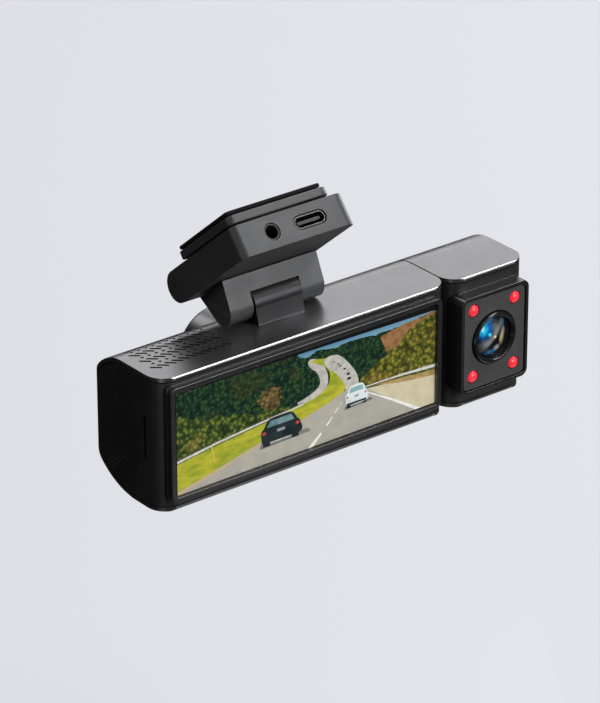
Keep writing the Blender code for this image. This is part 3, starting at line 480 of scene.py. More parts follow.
def foliage(deep, mid, high, accent, crown):
    """Tree crowns: shaded clumps with paler tops, in mixed greens."""
    def colour_of(tree):
        spot = place_on(tree)
        warp = node(tree, "TexNoise", {"Vector": spot, "Scale": 900.0, "Detail": 3.0}).outputs["Color"]
        shift = node(tree, "VectorMath", {0: warp, 1: (0.0012, 0.0, 0.0012), 2: spot}, operation="MULTIPLY_ADD")
        cells = node(tree, "TexVoronoi", {"Vector": shift.outputs["Vector"], "Scale": crown})
        shade = span(tree, cells.outputs["Distance"], 1.0, 0.0, 0.05, 0.75)
        leaves = noise(tree, 2600.0, 3.0, 0.7)
        clumps = node(tree, "Math", {0: leaves, 1: 0.9, 2: shade}, operation="MULTIPLY_ADD")
        level = span(tree, clumps.outputs["Value"], 0.0, 1.0, 0.35, 1.45)
        green = ramp(tree, level, [(0.0, deep), (0.45, mid), (1.0, high)])
        warm = ramp(tree, level, [(0.1, tuple(c * 0.35 for c in accent)), (0.9, accent)])
        patches = span(tree, noise(tree, 130.0, 2.0, 0.5), 0.0, 0.75, 0.56, 0.66)
        return mixed(tree, patches, green, warm)
    return colour_of


def toned(low, high, scale, stretch=None):
    """A tone that wanders between two colours."""
    def colour_of(tree):
        return ramp(tree, noise(tree, scale, 4.0, 0.6, stretch), [(0.35, low), (0.65, high)])
    return colour_of


def rising(low, high, start, end):
    """A tone that changes with height, in body coordinates."""
    def colour_of(tree):
        split = node(tree, "SeparateXYZ", {"Vector": place_on(tree)})
        level = span(tree, split.outputs["Z"], 0.0, 1.0, start - ORIGIN.z, end - ORIGIN.z)
        return ramp(tree, level, [(0.0, low), (1.0, high)])
    return colour_of


def clear_pane(name, roughness, cover):
    """Thin clear glass that shows what is behind it, with faint smears in its gloss."""
    material, tree, shader = new_material(name)
    smears = span(tree, noise(tree, 90.0, 3.0, 0.6), roughness * 0.7, roughness * 1.5, 0.3, 0.7)
    feed(tree, shader, {
        "Base Color": (0.02, 0.022, 0.026, 1), "Roughness": smears, "Alpha": cover, "IOR": 1.5})
    bump(tree, shader, noise(tree, 40.0, 2.0, 0.5), 0.1, 0.01)
    return material


# Patches of painted reflection and glint on the lens element: middle and half widths (mm), colour, and turn in
# degrees where it is turned.
LENS_REFLECTION_PATCHES = [
    ((-2.4, 2.8), (3.0, 3.6), (0.0, 0.16, 0.55)),
    ((-2.9, 2.6), (1.7, 2.2), (0.01, 0.55, 0.80)),
    ((-2.9, 2.6), (0.7, 1.0), (0.45, 0.85, 0.95)),
    ((-1.4, 4.6), (2.4, 1.1), (0.0, 0.20, 0.42)),
    ((-1.0, 0.8), (0.62, 0.62), (0.05, 0.75, 0.95)),
    ((0.6, -0.2), (0.55, 0.50), (0.85, 0.62, 0.25)),
    ((0.9, 2.4), (1.6, 2.2), (0.10, 0.10, 0.09)),
    ((-2.3, -1.4), (2.2, 1.5), (0.10, 0.11, 0.12)),
    ((2.9, -1.2), (1.0, 2.2), (0.42, 0.33, 0.18)),
    ((3.4, 0.6), (0.8, 1.6), (0.30, 0.28, 0.24)),
    ((1.5, -3.4), (1.3, 1.0), (0.36, 0.38, 0.40)),
    ((-0.3, -4.1), (2.2, 0.9), (0.0, 0.14, 0.38)),
    ((3.0, 2.9), (1.2, 1.4), (0.05, 0.13, 0.20)),
    ((0.2, 0.1), (5.4, 1.2), (0.15, 0.16, 0.17), -45),
]


def paint_lens_reflections(name, strength):
    """Lens element whose reflections and glints, in blue and amber, are painted by place on the element itself
    and glow.
    """
    material, tree, shader = new_material(name)
    spot = place_on(tree)
    base = None
    for (x, z), (wide, tall), colour, *turn in LENS_REFLECTION_PATCHES:
        inputs = {
            "Vector": spot, "Location": (x * MM, 0.0, z * MM), "Rotation": (0.0, math.radians(sum(turn)), 0.0),
            "Scale": (wide * MM, 1.0, tall * MM)}
        mapping = node(tree, "Mapping", inputs, vector_type="TEXTURE")
        ball = node(tree, "TexGradient", {"Vector": mapping.outputs["Vector"]}, gradient_type="SPHERICAL")
        lit = tuple(c * strength for c in colour)
        glow = ramp(tree, ball.outputs["Fac"], [(0.0, (0.0, 0.0, 0.0)), (0.8, lit)])
        base = glow if base is None else mixed(tree, 1.0, base, glow, "SCREEN")
    # The patches glow by emission: painted reflections and glints.
    feed(tree, shader, {
        "Base Color": base, "Emission Color": base, "Emission Strength": 0.75, "Roughness": 0.3})
    bump(tree, shader, noise(tree, 60.0, 2.0, 0.5), 0.1, 0.005)
    return material


def led_resin_painted_glow(name):
    """Red resin in an uneven tone, which glows by emission: a painted glow."""
    material, tree, shader = new_material(name)
    tone = ramp(tree, noise(tree, 500.0, 3.0, 0.5), [(0.3, (0.80, 0.022, 0.035)), (0.7, (0.90, 0.045, 0.07))])
    feed(tree, shader, {
        "Base Color": tone, "Emission Color": tone, "Emission Strength": 0.5, "Roughness": 0.3,
        "Subsurface Weight": 0.2, "Subsurface Scale": 0.001})
    bump(tree, shader, noise(tree, 1500.0, 2.0, 0.5), 0.2, 0.004)
    return material


MATERIALS = {}


# name, colour, roughness, grain, its depth (mm), metallic, edge wear, variation, specular level
PLASTICS = {
    "cover": ("cover_grey", (0.165, 0.167, 0.173), 0.30, 2600.0, 0.0008, 0.84, 0.0, 0.05),
    # A lighter copy of the cover for its rounded front edges: a painted highlight.
    "cover_edge": ("cover_edge", (0.36, 0.363, 0.372), 0.26, 2600.0, 0.0008, 0.9, 0.0, 0.05),
    "housing": ("housing_black", (0.018, 0.018, 0.019), 0.42, 2200.0, 0.01),
    "mount": ("mount_grey", (0.046, 0.048, 0.051), 0.42, 2400.0, 0.006, 0.15, 0.3),
    # The knuckle: the mount's plastic made darker, as painted shade under the shoe and bracket.
    "knuckle": ("knuckle_grey", (0.030, 0.031, 0.033), 0.34, 2400.0, 0.006, 0.6, 0.3),
    # Dark metal for the USB shell, darker than bare steel: painted shade in the port.
    "dark_metal": ("dark_metal", (0.10, 0.10, 0.10), 0.35, 1500.0, 0.004, 1.0),
    "gloss": ("gloss_black", (0.012, 0.012, 0.013), 0.20, 900.0, 0.002, 0.0, 0.0),
    "bezel": ("bezel_black", (0.021, 0.021, 0.022), 0.25, 900.0, 0.002, 0.0, 0.0, 0.06, 0.8),
    "plate": ("lens_plate", (0.05, 0.05, 0.052), 0.5, 2600.0, 0.006),
    "button": ("button", (0.02, 0.02, 0.021), 0.5, 2200.0, 0.01),
    "socket": ("socket", (0.012, 0.012, 0.013), 0.35, 1800.0, 0.003),
    "foam": ("foam", (0.009, 0.009, 0.01), 0.95, 1500.0, 0.06, 0.0, 0.0, 0.12, 0.2),
    "board": ("board", (0.02, 0.12, 0.05), 0.35, 700.0, 0.01),
    "steel": ("steel", (0.45, 0.45, 0.46), 0.28, 1500.0, 0.004, 1.0),
    "alloy": ("alloy", (0.6, 0.6, 0.62), 0.38, 1200.0, 0.005, 1.0),
    "white": ("light_guide", (0.8, 0.8, 0.8), 0.4, 1000.0, 0.003),
}


def make_materials():
    for key, (name, *values) in PLASTICS.items():
        MATERIALS[key] = plastic(f"{name}_finish", *values)
    MATERIALS["pane"] = clear_pane("screen_pane_finish", 0.06, 0.10)
    MATERIALS["lens"] = clear_pane("lens_pane_finish", 0.02, 0.22)
    # The lens elements carry painted reflections and glints, which glow.
    MATERIALS["core"] = paint_lens_reflections("lens_core_painted_reflections", 1.0)
    MATERIALS["front_core"] = paint_lens_reflections("front_core_painted_reflections", 0.6)
    # The LEDs' resin carries a painted glow.
    MATERIALS["led"] = led_resin_painted_glow("led_painted_glow_finish")
    MATERIALS["contact"] = plastic("contact_finish", (0.40, 0.31, 0.17), 0.25, 1500.0, 0.002, 1.0)


# ---------------------------------------------------------------- bar covers and housings

# The cover finish, a lighter copy of it as a painted highlight on the front edge, and black as painted shade in
# the vents.
COVER_AND_PAINTED_LIGHT_FINISHES = ("cover", "cover_edge", "socket")
EDGE_ROUND = 0.5 * MM


def clip_to_plan(piece, x0, x1, back_right):
    clip(piece, prism("plan", plan_outline(x0, x1, back_right), "Z", -PAST, HEIGHT + PAST))


def cover_blank(name, outline, x0, x1, back_right, level):
    """A cover whose long front edge, at one level, is rounded in its outline and given a lighter copy of the
    cover finish as a painted highlight.
    """
    piece = prism(name, outline, "X", x0 - GAP, x1 + GAP)
    clip_to_plan(piece, x0, x1, back_right)
    give_materials(piece, COVER_AND_PAINTED_LIGHT_FINISHES)
    for polygon in piece.data.polygons:
        centre, normal = polygon.center, polygon.normal
        near = centre.y < EDGE_ROUND and abs(centre.z - level) < EDGE_ROUND
        if near and 0.1 < abs(normal.z) < 0.99 and abs(normal.x) < 0.1:
            # The rounded front edge takes the lighter copy: a painted highlight.
            polygon.material_index = 1
    return piece


def top_blank(name, x0, x1, back_right):
    corner = arc((EDGE_ROUND, HEIGHT - EDGE_ROUND), EDGE_ROUND, 180, 90, 8)
    outline = corner + top_edge(0.0)[1:] + top_edge(SKIN)[::-1]
    return cover_blank(name, outline, x0, x1, back_right, HEIGHT)


def bottom_blank(name, x0, x1, back_right):
    corner = arc((EDGE_ROUND, EDGE_ROUND), EDGE_ROUND, 180, 270, 8)
    outline = corner + bottom_edge(0.0, FLOOR_SEAM)[1:] + bottom_edge(SKIN, FLOOR_SEAM)[::-1]
    return cover_blank(name, outline, x0, x1, back_right, 0.0)


def middle_blank(name, x0, x1, back_right):
    piece = prism(name, middle_outline(), "X", x0 - GAP, x1 + GAP)
    clip_to_plan(piece, x0, x1, back_right)
    cavity = rounded(x0 + WALL, x1 - WALL, FRONT_WALL, DEPTH - WALL, 2 * MM, 6)
    cut(piece, prism("cavity", cavity, "Z", -PAST - MM, HEIGHT + PAST + MM))
    return piece


def knuckle_profile():
    """Barrel about the pin, its front face flowing into the top of the bar."""
    lean = math.degrees(math.atan2(4.0, 1.1))
    fillet = 0.5 * MM
    run = fillet * math.tan(math.radians(lean / 2))
    centre = (9.2 * MM - run, HEIGHT + fillet)
    flow = arc(centre, fillet, -90, -90 + lean, 10)
    foot = [(centre[0], HEIGHT - 0.6 * MM)] + mm([(16.0, 33.1), (21.0, 31.6)])
    rear = mm([(21.0, 32.05), (19.9, 33.1), (19.2, 34.2), (18.3, 35.4)])
    return foot + rear + arc(PIN, 4.1 * MM, -25, 180, 40) + flow[::-1]


# Rows of vents in mm: first place along the bar, place across it, half length, end radius.
VENT_ROWS = [
    (4.1, 6.65, 1.12, 0.27), (4.08, 10.82, 1.12, 0.27), (3.86, 14.72, 1.12, 0.27), (3.7, 18.8, 1.12, 0.27),
    (4.75, 8.75, 0.06, 0.3), (4.7, 12.8, 0.06, 0.3), (4.6, 16.75, 0.06, 0.3),
]
VENTS_IN_ROW = 11
VENT_PITCH = 2.0
VENT_SLANT = math.radians(40)


def make_vents(cover):
    """Slanted slots in rows with round holes between them, cut at the left end of the top, with walls in black
    as painted shade.
    """
    tools = []
    for first, row, half, radius in VENT_ROWS:
        for number in range(VENTS_IN_ROW):
            centre = Vector((first + VENT_PITCH * number, row)) * MM
            tools.append(vent_tool(centre, half * MM, radius * MM))
    vents = merged("vents", tools)
    give_materials(vents, COVER_AND_PAINTED_LIGHT_FINISHES)
    for polygon in vents.data.polygons:
        # The vent walls take the black socket finish: painted shade in the slots.
        polygon.material_index = 2
    cut(cover, vents)


def top_height(y):
    start = DEPTH - TOP_RADIUS
    if y <= start:
        return HEIGHT
    return HEIGHT - TOP_RADIUS + math.sqrt(TOP_RADIUS ** 2 - (y - start) ** 2)


def vent_tool(centre, half, radius):
    """A slot cutter with rounded ends and a flared mouth."""
    along = Vector((math.cos(VENT_SLANT), -math.sin(VENT_SLANT)))
    side = Vector((-along.y, along.x))
    flare = 0.1 * MM
    rings = []
    for level, grow in [(-2.5 * MM, 0.0), (-flare, 0.0), (0.15 * MM, flare * 2.2)]:
        ring = []
        for end, start in ((1, -90), (-1, 90)):
            for step in range(7):
                angle = math.radians(start + 30 * step)
                offset = along * (end * half + (radius + grow) * math.cos(angle))
                offset += side * (radius + grow) * math.sin(angle)
                place = centre + offset
                ring.append((place.x, place.y, top_height(place.y) + level))
        rings.append(ring)
    return lofted("vent", rings, triangles=True)


def front_way():
    """The way through the back of the bar for the front camera."""
    return rod("way", FRONT_BORE, 15 * MM, 40 * MM, "Y", (FRONT_LENS[0], 0, FRONT_LENS[1]))


def make_bar():
    top = top_blank("top_cover_skin", 0.0, LENGTH, BAR_CORNER)
    cut(top, front_way())
    make_vents(top)
    clean(top, 0.1)
    ready(top, BODY, "camera_body", COVER_AND_PAINTED_LIGHT_FINISHES, "cover_grey", "top_cover")

    bottom = bottom_blank("bottom_cover_skin", 0.0, LENGTH, BAR_CORNER)
    for x in BUTTON_PLACES:
        cut(bottom, prism("hole", button_outline(x, GAP), "Z", -1 * MM, 3 * MM))
    ready(bottom, BODY, "camera_body", COVER_AND_PAINTED_LIGHT_FINISHES, "cover_grey", "bottom_cover")

    middle = middle_blank("mid_housing_skin", 0.0, LENGTH, BAR_CORNER)
    cut(middle, prism("recess", shrunk(BEZEL, -0.3, 1.7, 8), "Y", -1 * MM, 1 * MM))
    window = shrunk(BEZEL, (2, 2, 1.8, 1.8), 0.5, 4)
    cut(middle, prism("window", window, "Y", -2 * MM, FRONT_WALL + 1 * MM))
    bevel(middle, 0.2, 3)
    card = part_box("memory_card")
    low = card[0][2] + ORIGIN.z - 0.25 * MM
    high = card[1][2] + ORIGIN.z + 0.25 * MM
    cut(middle, prism("slot", rounded(5.35 * MM, 6.15 * MM, low, high, 0.39 * MM, 8), "X", -2 * MM, 3 * MM))
    cut(middle, front_way())
    add_ribs(middle)
    ready(middle, BODY, "camera_body", "housing", "housing_black", "mid_housing")


def make_knuckle():
    knuckle = prism("knuckle_skin", knuckle_profile(), "X", NOTCH[0] + GAP, NOTCH[1] - GAP)
    bevel(knuckle, 0.2, 3)
    cut(knuckle, rod("hole", 2.6 * MM, NOTCH[0] - MM, NOTCH[1] + MM, "X", (0, *PIN)))
    # The knuckle's darker finish is painted shade.
    ready(knuckle, BODY, "camera_body", "knuckle", "mount_grey", "hinge_knuckle")


def add_ribs(housing):
    """Slanting grooves over the rear of the left end."""
    slant = math.radians(42)
    pitch = 0.95 * MM / math.cos(slant)
    half = 0.17 * MM
    low, high = -14 * MM, 44 * MM
    rise = Matrix.Identity(4)
    rise[2][1] = -math.tan(slant)
    tools = []
    for number in range(int((high - low) / pitch)):
        groove = box("groove", -1 * MM, 0.07 * MM, 9.8 * MM, DEPTH - 3.0 * MM, -half, half)
        level = low + number * pitch + 18 * MM * math.tan(slant)
        groove.data.transform(Matrix.Translation((0, 0, level)) @ rise)
        tools.append(groove)
    grooves = merged("grooves", tools)
    clip(grooves, box("clear", -2 * MM, 2 * MM, 0, DEPTH + 2 * MM, 3.4 * MM, 32.2 * MM))
    cut(housing, grooves)


def button_outline(x, grow):
    long, half = BUTTON_HALF[0] + grow, BUTTON_HALF[1] + grow
    return rounded(x - long, x + long, BUTTON_ROW - half, BUTTON_ROW + half, half - 0.01 * MM, 10)


# A button cap from its dished face up to its flange: how far each ring grows, and its height (mm).
CAP_RINGS = ((-1.15, -0.26), (-0.90, -0.32), (-0.65, -0.44), (-0.48, -0.50), (-0.30, -0.50), (-0.18, -0.475),
             (-0.09, -0.41), (-0.025, -0.32), (0, -0.20), (0, 1.3), (0.72, 1.3), (0.8, 1.38), (0.8, 2.0))


def make_screen():
    """The raised bezel with a low step round its foot."""
    bezel = prism("bezel_rim", [shrunk(BEZEL, 0, 1.5, 8), shrunk(BEZEL, (1.2, 1.25, 0.8, 1.2), 0.6, 6)], "Y",
                  -1.6 * MM, 0.7 * MM)
    bevel(bezel, 0.2, 4)
    ready(bezel, BODY, "camera_body", "bezel", "gloss_black", "screen_bezel")
    step = prism("bezel_step", [shrunk(BEZEL, -0.27, 1.7, 8), shrunk(BEZEL, 0.01, 1.5, 8)], "Y",
                 -0.22 * MM, 0.6 * MM)
    bevel(step, 0.1, 3)
    ready(step, BODY, "camera_body", "bezel", "gloss_black")


PICTURE = mm([(4.4, 3.95), (80.9, 4.15), (80.9, 28.6), (4.4, 29.75)])
LAYER_FRONT = -0.46 * MM
LAYER_THICKNESS = 0.004 * MM


def strip(points, widths):
    """A band of changing width along a path."""
    left, right = [], []
    for i, (x, z) in enumerate(points):
        before = points[max(0, i - 1)]
        after = points[min(len(points) - 1, i + 1)]
        run = Vector((after[0] - before[0], after[1] - before[1])).normalized()
        half = widths[min(i, len(widths) - 1)] / 2
        left.append((x - run.y * half, z + run.x * half))
        right.append((x + run.y * half, z - run.x * half))
    return left + right[::-1]


def smooth_path(points, steps=5):
    """Catmull-Rom points through a few places."""
    out = []
    for i in range(len(points) - 1):
        p0 = Vector(points[max(0, i - 1)])
        p1 = Vector(points[i])
        p2 = Vector(points[i + 1])
        p3 = Vector(points[min(len(points) - 1, i + 2)])
        for step in range(steps):
            t = step / steps
            point = 0.5 * (2 * p1 + (p2 - p0) * t + (2 * p0 - 5 * p1 + 4 * p2 - p3) * t * t
                           + (3 * p1 - p0 - 3 * p2 + p3) * t ** 3)
            out.append((point.x, point.y))
    return out + [tuple(points[-1])]


def ragged(points, size, seed, steps=9):
    """A tree line: a path broken into uneven crowns."""
    source = random.Random(seed)
    out = []
    for (x0, z0), (x1, z1) in zip(points, points[1:]):
        for step in range(steps):
            t = step / steps
            out.append((x0 + (x1 - x0) * t, z0 + (z1 - z0) * t + source.uniform(-size, size)))
    return out + [points[-1]]


def picture_layers():
    """A wooded valley road seen through a windscreen, as flat layers from back to front, in mm."""
    hill_line = ragged([(38.8, 30.0), (40.2, 28.2), (42.4, 27.6), (45, 28.6), (50, 27.7), (55, 28.2),
                        (62, 27.4), (69, 27.5), (75, 27.9), (81, 28.6)], 0.22, 3)
    near_line = ragged([(58, 17), (62, 19.5), (66, 21.5), (70, 23.2), (72, 25.2), (74.3, 26.6), (80.2, 27.8),
                        (82, 28.2)], 0.35, 5)
    brown_line = ragged([(64, 26.4), (68, 27.3), (72, 27.8), (77, 28.2), (82, 28.6)], 0.15, 11)
    source = random.Random(13)
    warm_crown = []
    for step in range(28):
        reach = source.uniform(2.7, 4.1)
        angle = 2 * math.pi * step / 28
        warm_crown.append((31.2 + reach * math.cos(angle), 20.6 + 0.9 * reach * math.sin(angle)))
    left_wood = ragged([(3, 31.5), (3, 26), (10, 22), (18, 19.8), (27, 18.2), (34, 17.2),
                        (41, 16.2)], 0.9, 7, 6)
    verge_top = smooth_path([(40, 16.0), (44.5, 16.6), (48.0, 18.4), (49.0, 21.0), (47.6, 23.6), (43.0, 26.3)])
    verge_right = smooth_path([(45.2, 26.4), (48.6, 25.5), (51.6, 22.8), (53.6, 19.6), (54.0, 17.0),
                               (53.0, 15.6)])
    verge_low = smooth_path([(53.0, 15.6), (49, 14.2), (40, 12.1), (29, 10.2), (19, 7.9), (10, 5.9), (3, 4.6)])
    far_left = smooth_path([(42.6, 26.6), (45.6, 24.2), (47.1, 21.2), (46.7, 18.6), (43.8, 16.8), (39.6, 15.7)])
    far_right = smooth_path([(47.3, 25.4), (50.8, 23.6), (53.6, 20.6), (55.4, 17.6), (55.6, 14.0)])
    rail_left = [(3, 12.2), (16, 13.9), (29, 15.1), (41, 16.0)]
    layers = [
        ("far_wood", [(3, 3), (82, 3), (82, 32), (3, 32)]),
        ("sky", [(38, 32)] + hill_line + [(82, 32)]),
        ("far_wood", hill_line + [(81, 14), (41.5, 14), (41.5, 25.6), (39.8, 27.4)]),
        ("brown_hill", brown_line + [(82, 24), (66, 22)]),
        ("warm_wood", near_line + [(82, 13), (58, 14.6)]),
        ("warm_tree", warm_crown),
        ("left_wood", left_wood + [(41, 15.2), (3, 11)]),
        ("road_far", strip(far_left, [0.7, 1.6, 2.2, 2.6, 2.6, 2.4])),
        ("verge", verge_top + verge_right + verge_low[1:] + [(3, 11.6), (16, 13.3), (29, 14.6)]),
        ("road_far", strip(far_right, [0.8, 1.8, 2.8, 3.4, 4.0])),
        ("road", [(53.0, 15.6), (57.9, 16.0), (59.6, 14.3), (70, 13.3), (82, 12.0), (82, 3), (3, 3), (3, 4.6),
                  (10, 5.9), (19, 7.9), (29, 10.2), (40, 12.1), (49, 14.2)]),
        ("shoulder", [(60.2, 14.2), (70, 13.3), (82, 12.0), (82, 3), (77.2, 3), (68.5, 8.6)]),
        ("scrub", [(62, 14.5), (70, 13.9), (82, 12.9), (82, 11.4), (70, 12.8)]),
        ("line", strip([(60.0, 13.4), (67.4, 9.2), (77.6, 3.0)], [0.22, 0.55, 0.95])),
        ("yellow", strip([(3, 3.9), (12, 5.9), (20, 7.6), (29, 9.7), (40, 11.8), (49, 13.9)],
                         [0.34, 0.3, 0.26, 0.22, 0.16, 0.1])),
        ("rail", strip(rail_left, [0.7, 0.58, 0.46, 0.3])),
        ("rail_dark", strip([(x, z + 0.45) for x, z in rail_left], [0.28, 0.22, 0.16, 0.1])),
        ("rail", strip([(59.0, 14.9), (70, 14.6), (82, 13.9)], [0.2, 0.65, 1.05])),
        ("rail_dark", strip([(60.0, 14.75), (70, 14.35), (82, 13.45)], [0.06, 0.16, 0.28])),
        ("line", strip([(42.6, 3.6), (46.3, 6.8)], [0.95, 0.6])),
        ("line", strip([(47.9, 8.3), (49.6, 10.0)], [0.45, 0.3])),
        ("line", strip([(50.4, 10.9), (51.4, 11.9)], [0.26, 0.18])),
        ("line", strip([(52.0, 12.5), (52.5, 13.1)], [0.16, 0.12])),
        ("marker", strip([(15.1, 9.2), (14.2, 13.8)], [0.3, 0.3])),
    ]
    for x, z, size in [(54.4, 19.6, 0.5), (53.3, 21.3, 0.4), (54.6, 18.3, 0.6), (51.4, 23.2, 0.3),
                       (50.1, 24.1, 0.25), (52.0, 22.5, 0.3)]:
        roof = size * 0.8
        layers.append(("dark_car", [(x - size, z), (x + size, z), (x + roof, z + size), (x - roof, z + size)]))
    layers += car_layers(28.6, 8.4, 11.4, 7.0, "dark_car", "dark_glass")
    return layers + car_layers(53.6, 10.9, 6.4, 5.5, "white_car", "light_glass")


def car_layers(x, z, width, height, paint, glass):
    """A saloon seen from behind, as flat layers; x and z are its lower left corner."""
    def at(u, v):
        return (x + u * width, z + v * height)

    def shape(*places):
        return [at(u, v) for u, v in places]

    body = [(0.02, 0.12), (0.0, 0.55), (0.08, 0.70), (0.17, 0.93), (0.30, 1.0), (0.70, 1.0), (0.83, 0.93),
            (0.92, 0.70), (1.0, 0.55), (0.98, 0.12)]
    return [
        ("shadow", shape((-0.04, -0.04), (1.28, 0.02), (1.20, 0.16), (0.0, 0.14))),
        ("dark_car", shape((0.04, 0.0), (0.22, 0.0), (0.22, 0.3), (0.04, 0.3))),
        ("dark_car", shape((0.78, 0.0), (0.96, 0.0), (0.96, 0.3), (0.78, 0.3))),
        (paint, smooth_path([at(u, v) for u, v in body] + [at(*body[0])], 4)[:-1]),
        (glass, shape((0.15, 0.68), (0.23, 0.91), (0.77, 0.91), (0.85, 0.68))),
        ("lamp", shape((0.03, 0.46), (0.03, 0.56), (0.11, 0.55), (0.11, 0.46))),
        ("lamp", shape((0.89, 0.46), (0.89, 0.55), (0.97, 0.56), (0.97, 0.46))),
        ("plate", shape((0.40, 0.42), (0.40, 0.52), (0.60, 0.52), (0.60, 0.42))),
        ("dark_car", shape((0.04, 0.12), (0.96, 0.12), (0.96, 0.22), (0.04, 0.22))),
        ("bumper", shape((0.22, 0.08), (0.78, 0.08), (0.78, 0.13), (0.22, 0.13))),
    ]


# Tree crowns: shaded, middle, lit and accent colours, and how many crowns to a metre.
WOODS = {
    "far_wood": ((0.001, 0.008, 0.007), (0.008, 0.032, 0.014),
                 (0.045, 0.095, 0.022), (0.05, 0.07, 0.02), 1050.0),
    "left_wood": ((0.004, 0.015, 0.006), (0.045, 0.075, 0.012),
                  (0.22, 0.24, 0.04), (0.26, 0.22, 0.05), 850.0),
    "warm_wood": ((0.012, 0.018, 0.003), (0.10, 0.105, 0.012),
                  (0.30, 0.27, 0.035), (0.30, 0.22, 0.04), 850.0),
    "warm_tree": ((0.016, 0.016, 0.005), (0.12, 0.082, 0.024),
                  (0.30, 0.19, 0.07), (0.22, 0.18, 0.05), 900.0),
}

# Plain parts of the picture: two colours, how fine their mix is, and how it stretches.
TONES = {
    "brown_hill": ((0.16, 0.09, 0.03), (0.34, 0.17, 0.07), 900.0),
    "verge": ((0.24, 0.30, 0.02), (0.50, 0.46, 0.04), 420.0, (0.5, 1.0, 1.6)),
    "road": ((0.36, 0.34, 0.30), (0.42, 0.40, 0.34), 260.0),
    "road_far": ((0.38, 0.37, 0.33), (0.55, 0.53, 0.48), 900.0),
    "shoulder": ((0.55, 0.48, 0.32), (0.62, 0.56, 0.40), 300.0),
    "scrub": ((0.24, 0.22, 0.06), (0.50, 0.30, 0.14), 900.0),
    "line": ((0.72, 0.72, 0.66), (0.85, 0.84, 0.78), 900.0),
    "yellow": ((0.62, 0.36, 0.07), (0.70, 0.46, 0.12), 900.0),
    "rail": ((0.48, 0.48, 0.44), (0.66, 0.65, 0.60), 700.0),
    "rail_dark": ((0.05, 0.06, 0.04), (0.12, 0.12, 0.09), 700.0),
    "marker": ((0.60, 0.42, 0.04), (0.70, 0.50, 0.08), 700.0),
    "dark_car": ((0.006, 0.012, 0.014), (0.02, 0.035, 0.038), 300.0),
    "white_car": ((0.52, 0.60, 0.60), (0.70, 0.76, 0.75), 300.0),
    "dark_glass": ((0.06, 0.14, 0.15), (0.22, 0.34, 0.36), 260.0),
    "light_glass": ((0.16, 0.34, 0.36), (0.42, 0.60, 0.60), 260.0),
    "lamp": ((0.45, 0.03, 0.04), (0.65, 0.08, 0.08), 900.0),
    "plate": ((0.20, 0.22, 0.24), (0.36, 0.38, 0.38), 900.0),
    "bumper": ((0.35, 0.36, 0.36), (0.55, 0.56, 0.55), 900.0),
    "shadow": ((0.12, 0.12, 0.11), (0.20, 0.20, 0.18), 300.0),
}


def make_picture_materials():
    """The picture's colours; returns their names in order."""
    colours = {"sky": rising((0.20, 0.38, 0.46), (0.05, 0.17, 0.32), 27.0 * MM, 30.0 * MM)}
    colours.update({name: foliage(*values) for name, values in WOODS.items()})
    colours.update({name: toned(*values) for name, values in TONES.items()})
    for name, colour_of in colours.items():
        MATERIALS[f"picture_{name}"] = glowing(f"picture_{name}", colour_of)
    return [f"picture_{name}" for name in colours]


def make_picture():
    """The display: a black panel with the picture laid on it in thin layers, behind a clear pane."""
    panel = prism("display_panel", shrunk(BEZEL, (1.2, 1.2, 0.7, 1.2), 0.4, 4), "Y", -0.45 * MM, 0.65 * MM)
    bevel(panel, 0.05, 2)
    ready(panel, BODY, "camera_body", "gloss", "display", "lcd_panel")
    names = make_picture_materials()
    window = prism("window", PICTURE, "Y", -1.0 * MM, 0.0)
    shape = bmesh.new()
    for number, (name, outline) in enumerate(picture_layers(), 1):
        layer = prism("layer", mm(outline), "Y", LAYER_FRONT - number * LAYER_THICKNESS, LAYER_FRONT)
        clip(layer, mesh_object("window", window.data))
        first = len(shape.faces)
        shape.from_mesh(layer.data)
        shape.faces.ensure_lookup_table()
        for face in shape.faces[first:]:
            face.material_index = names.index(f"picture_{name}")
        bpy.data.objects.remove(layer)
    bpy.data.objects.remove(window)
    picture = from_shape("display_picture", shape)
    ready(picture, BODY, "camera_body", names, "display")
    picture.modifiers.clear()

    pane = prism("screen_pane", shrunk(BEZEL, (1.3, 1.3, 0.9, 1.3), 0.5, 4), "Y", -1.45 * MM, -0.75 * MM)
    bevel(pane, 0.15, 3)
    ready(pane, BODY, "camera_body", "pane", "clear_glass", "screen_glass")


# ---------------------------------------------------------------- pod

def make_pod():
    top = top_blank("pod_top_skin", POD_START, POD_END, POD_CORNER)
    ready(top, BODY, "cabin_pod", COVER_AND_PAINTED_LIGHT_FINISHES, "cover_grey", "pod_top_cover")
    bottom = bottom_blank("pod_bottom_skin", POD_START, POD_END, POD_CORNER)
    ready(bottom, BODY, "cabin_pod", COVER_AND_PAINTED_LIGHT_FINISHES, "cover_grey", "pod_bottom_cover")
    middle = middle_blank("pod_housing_skin", POD_START, POD_END, POD_CORNER)
    window = shrunk(LENS_FRAME, 1.5, 1, 4)
    cut(middle, prism("window", window, "Y", -2 * MM, FRONT_WALL + 1 * MM))
    bevel(middle, 0.2, 3)
    cut(middle, rod("hole", 4.3 * MM, 85 * MM, 90 * MM, "X", (0, *PIVOT)))
    ready(middle, BODY, "cabin_pod", "housing", "housing_black", "pod_housing")
    make_lens_block()


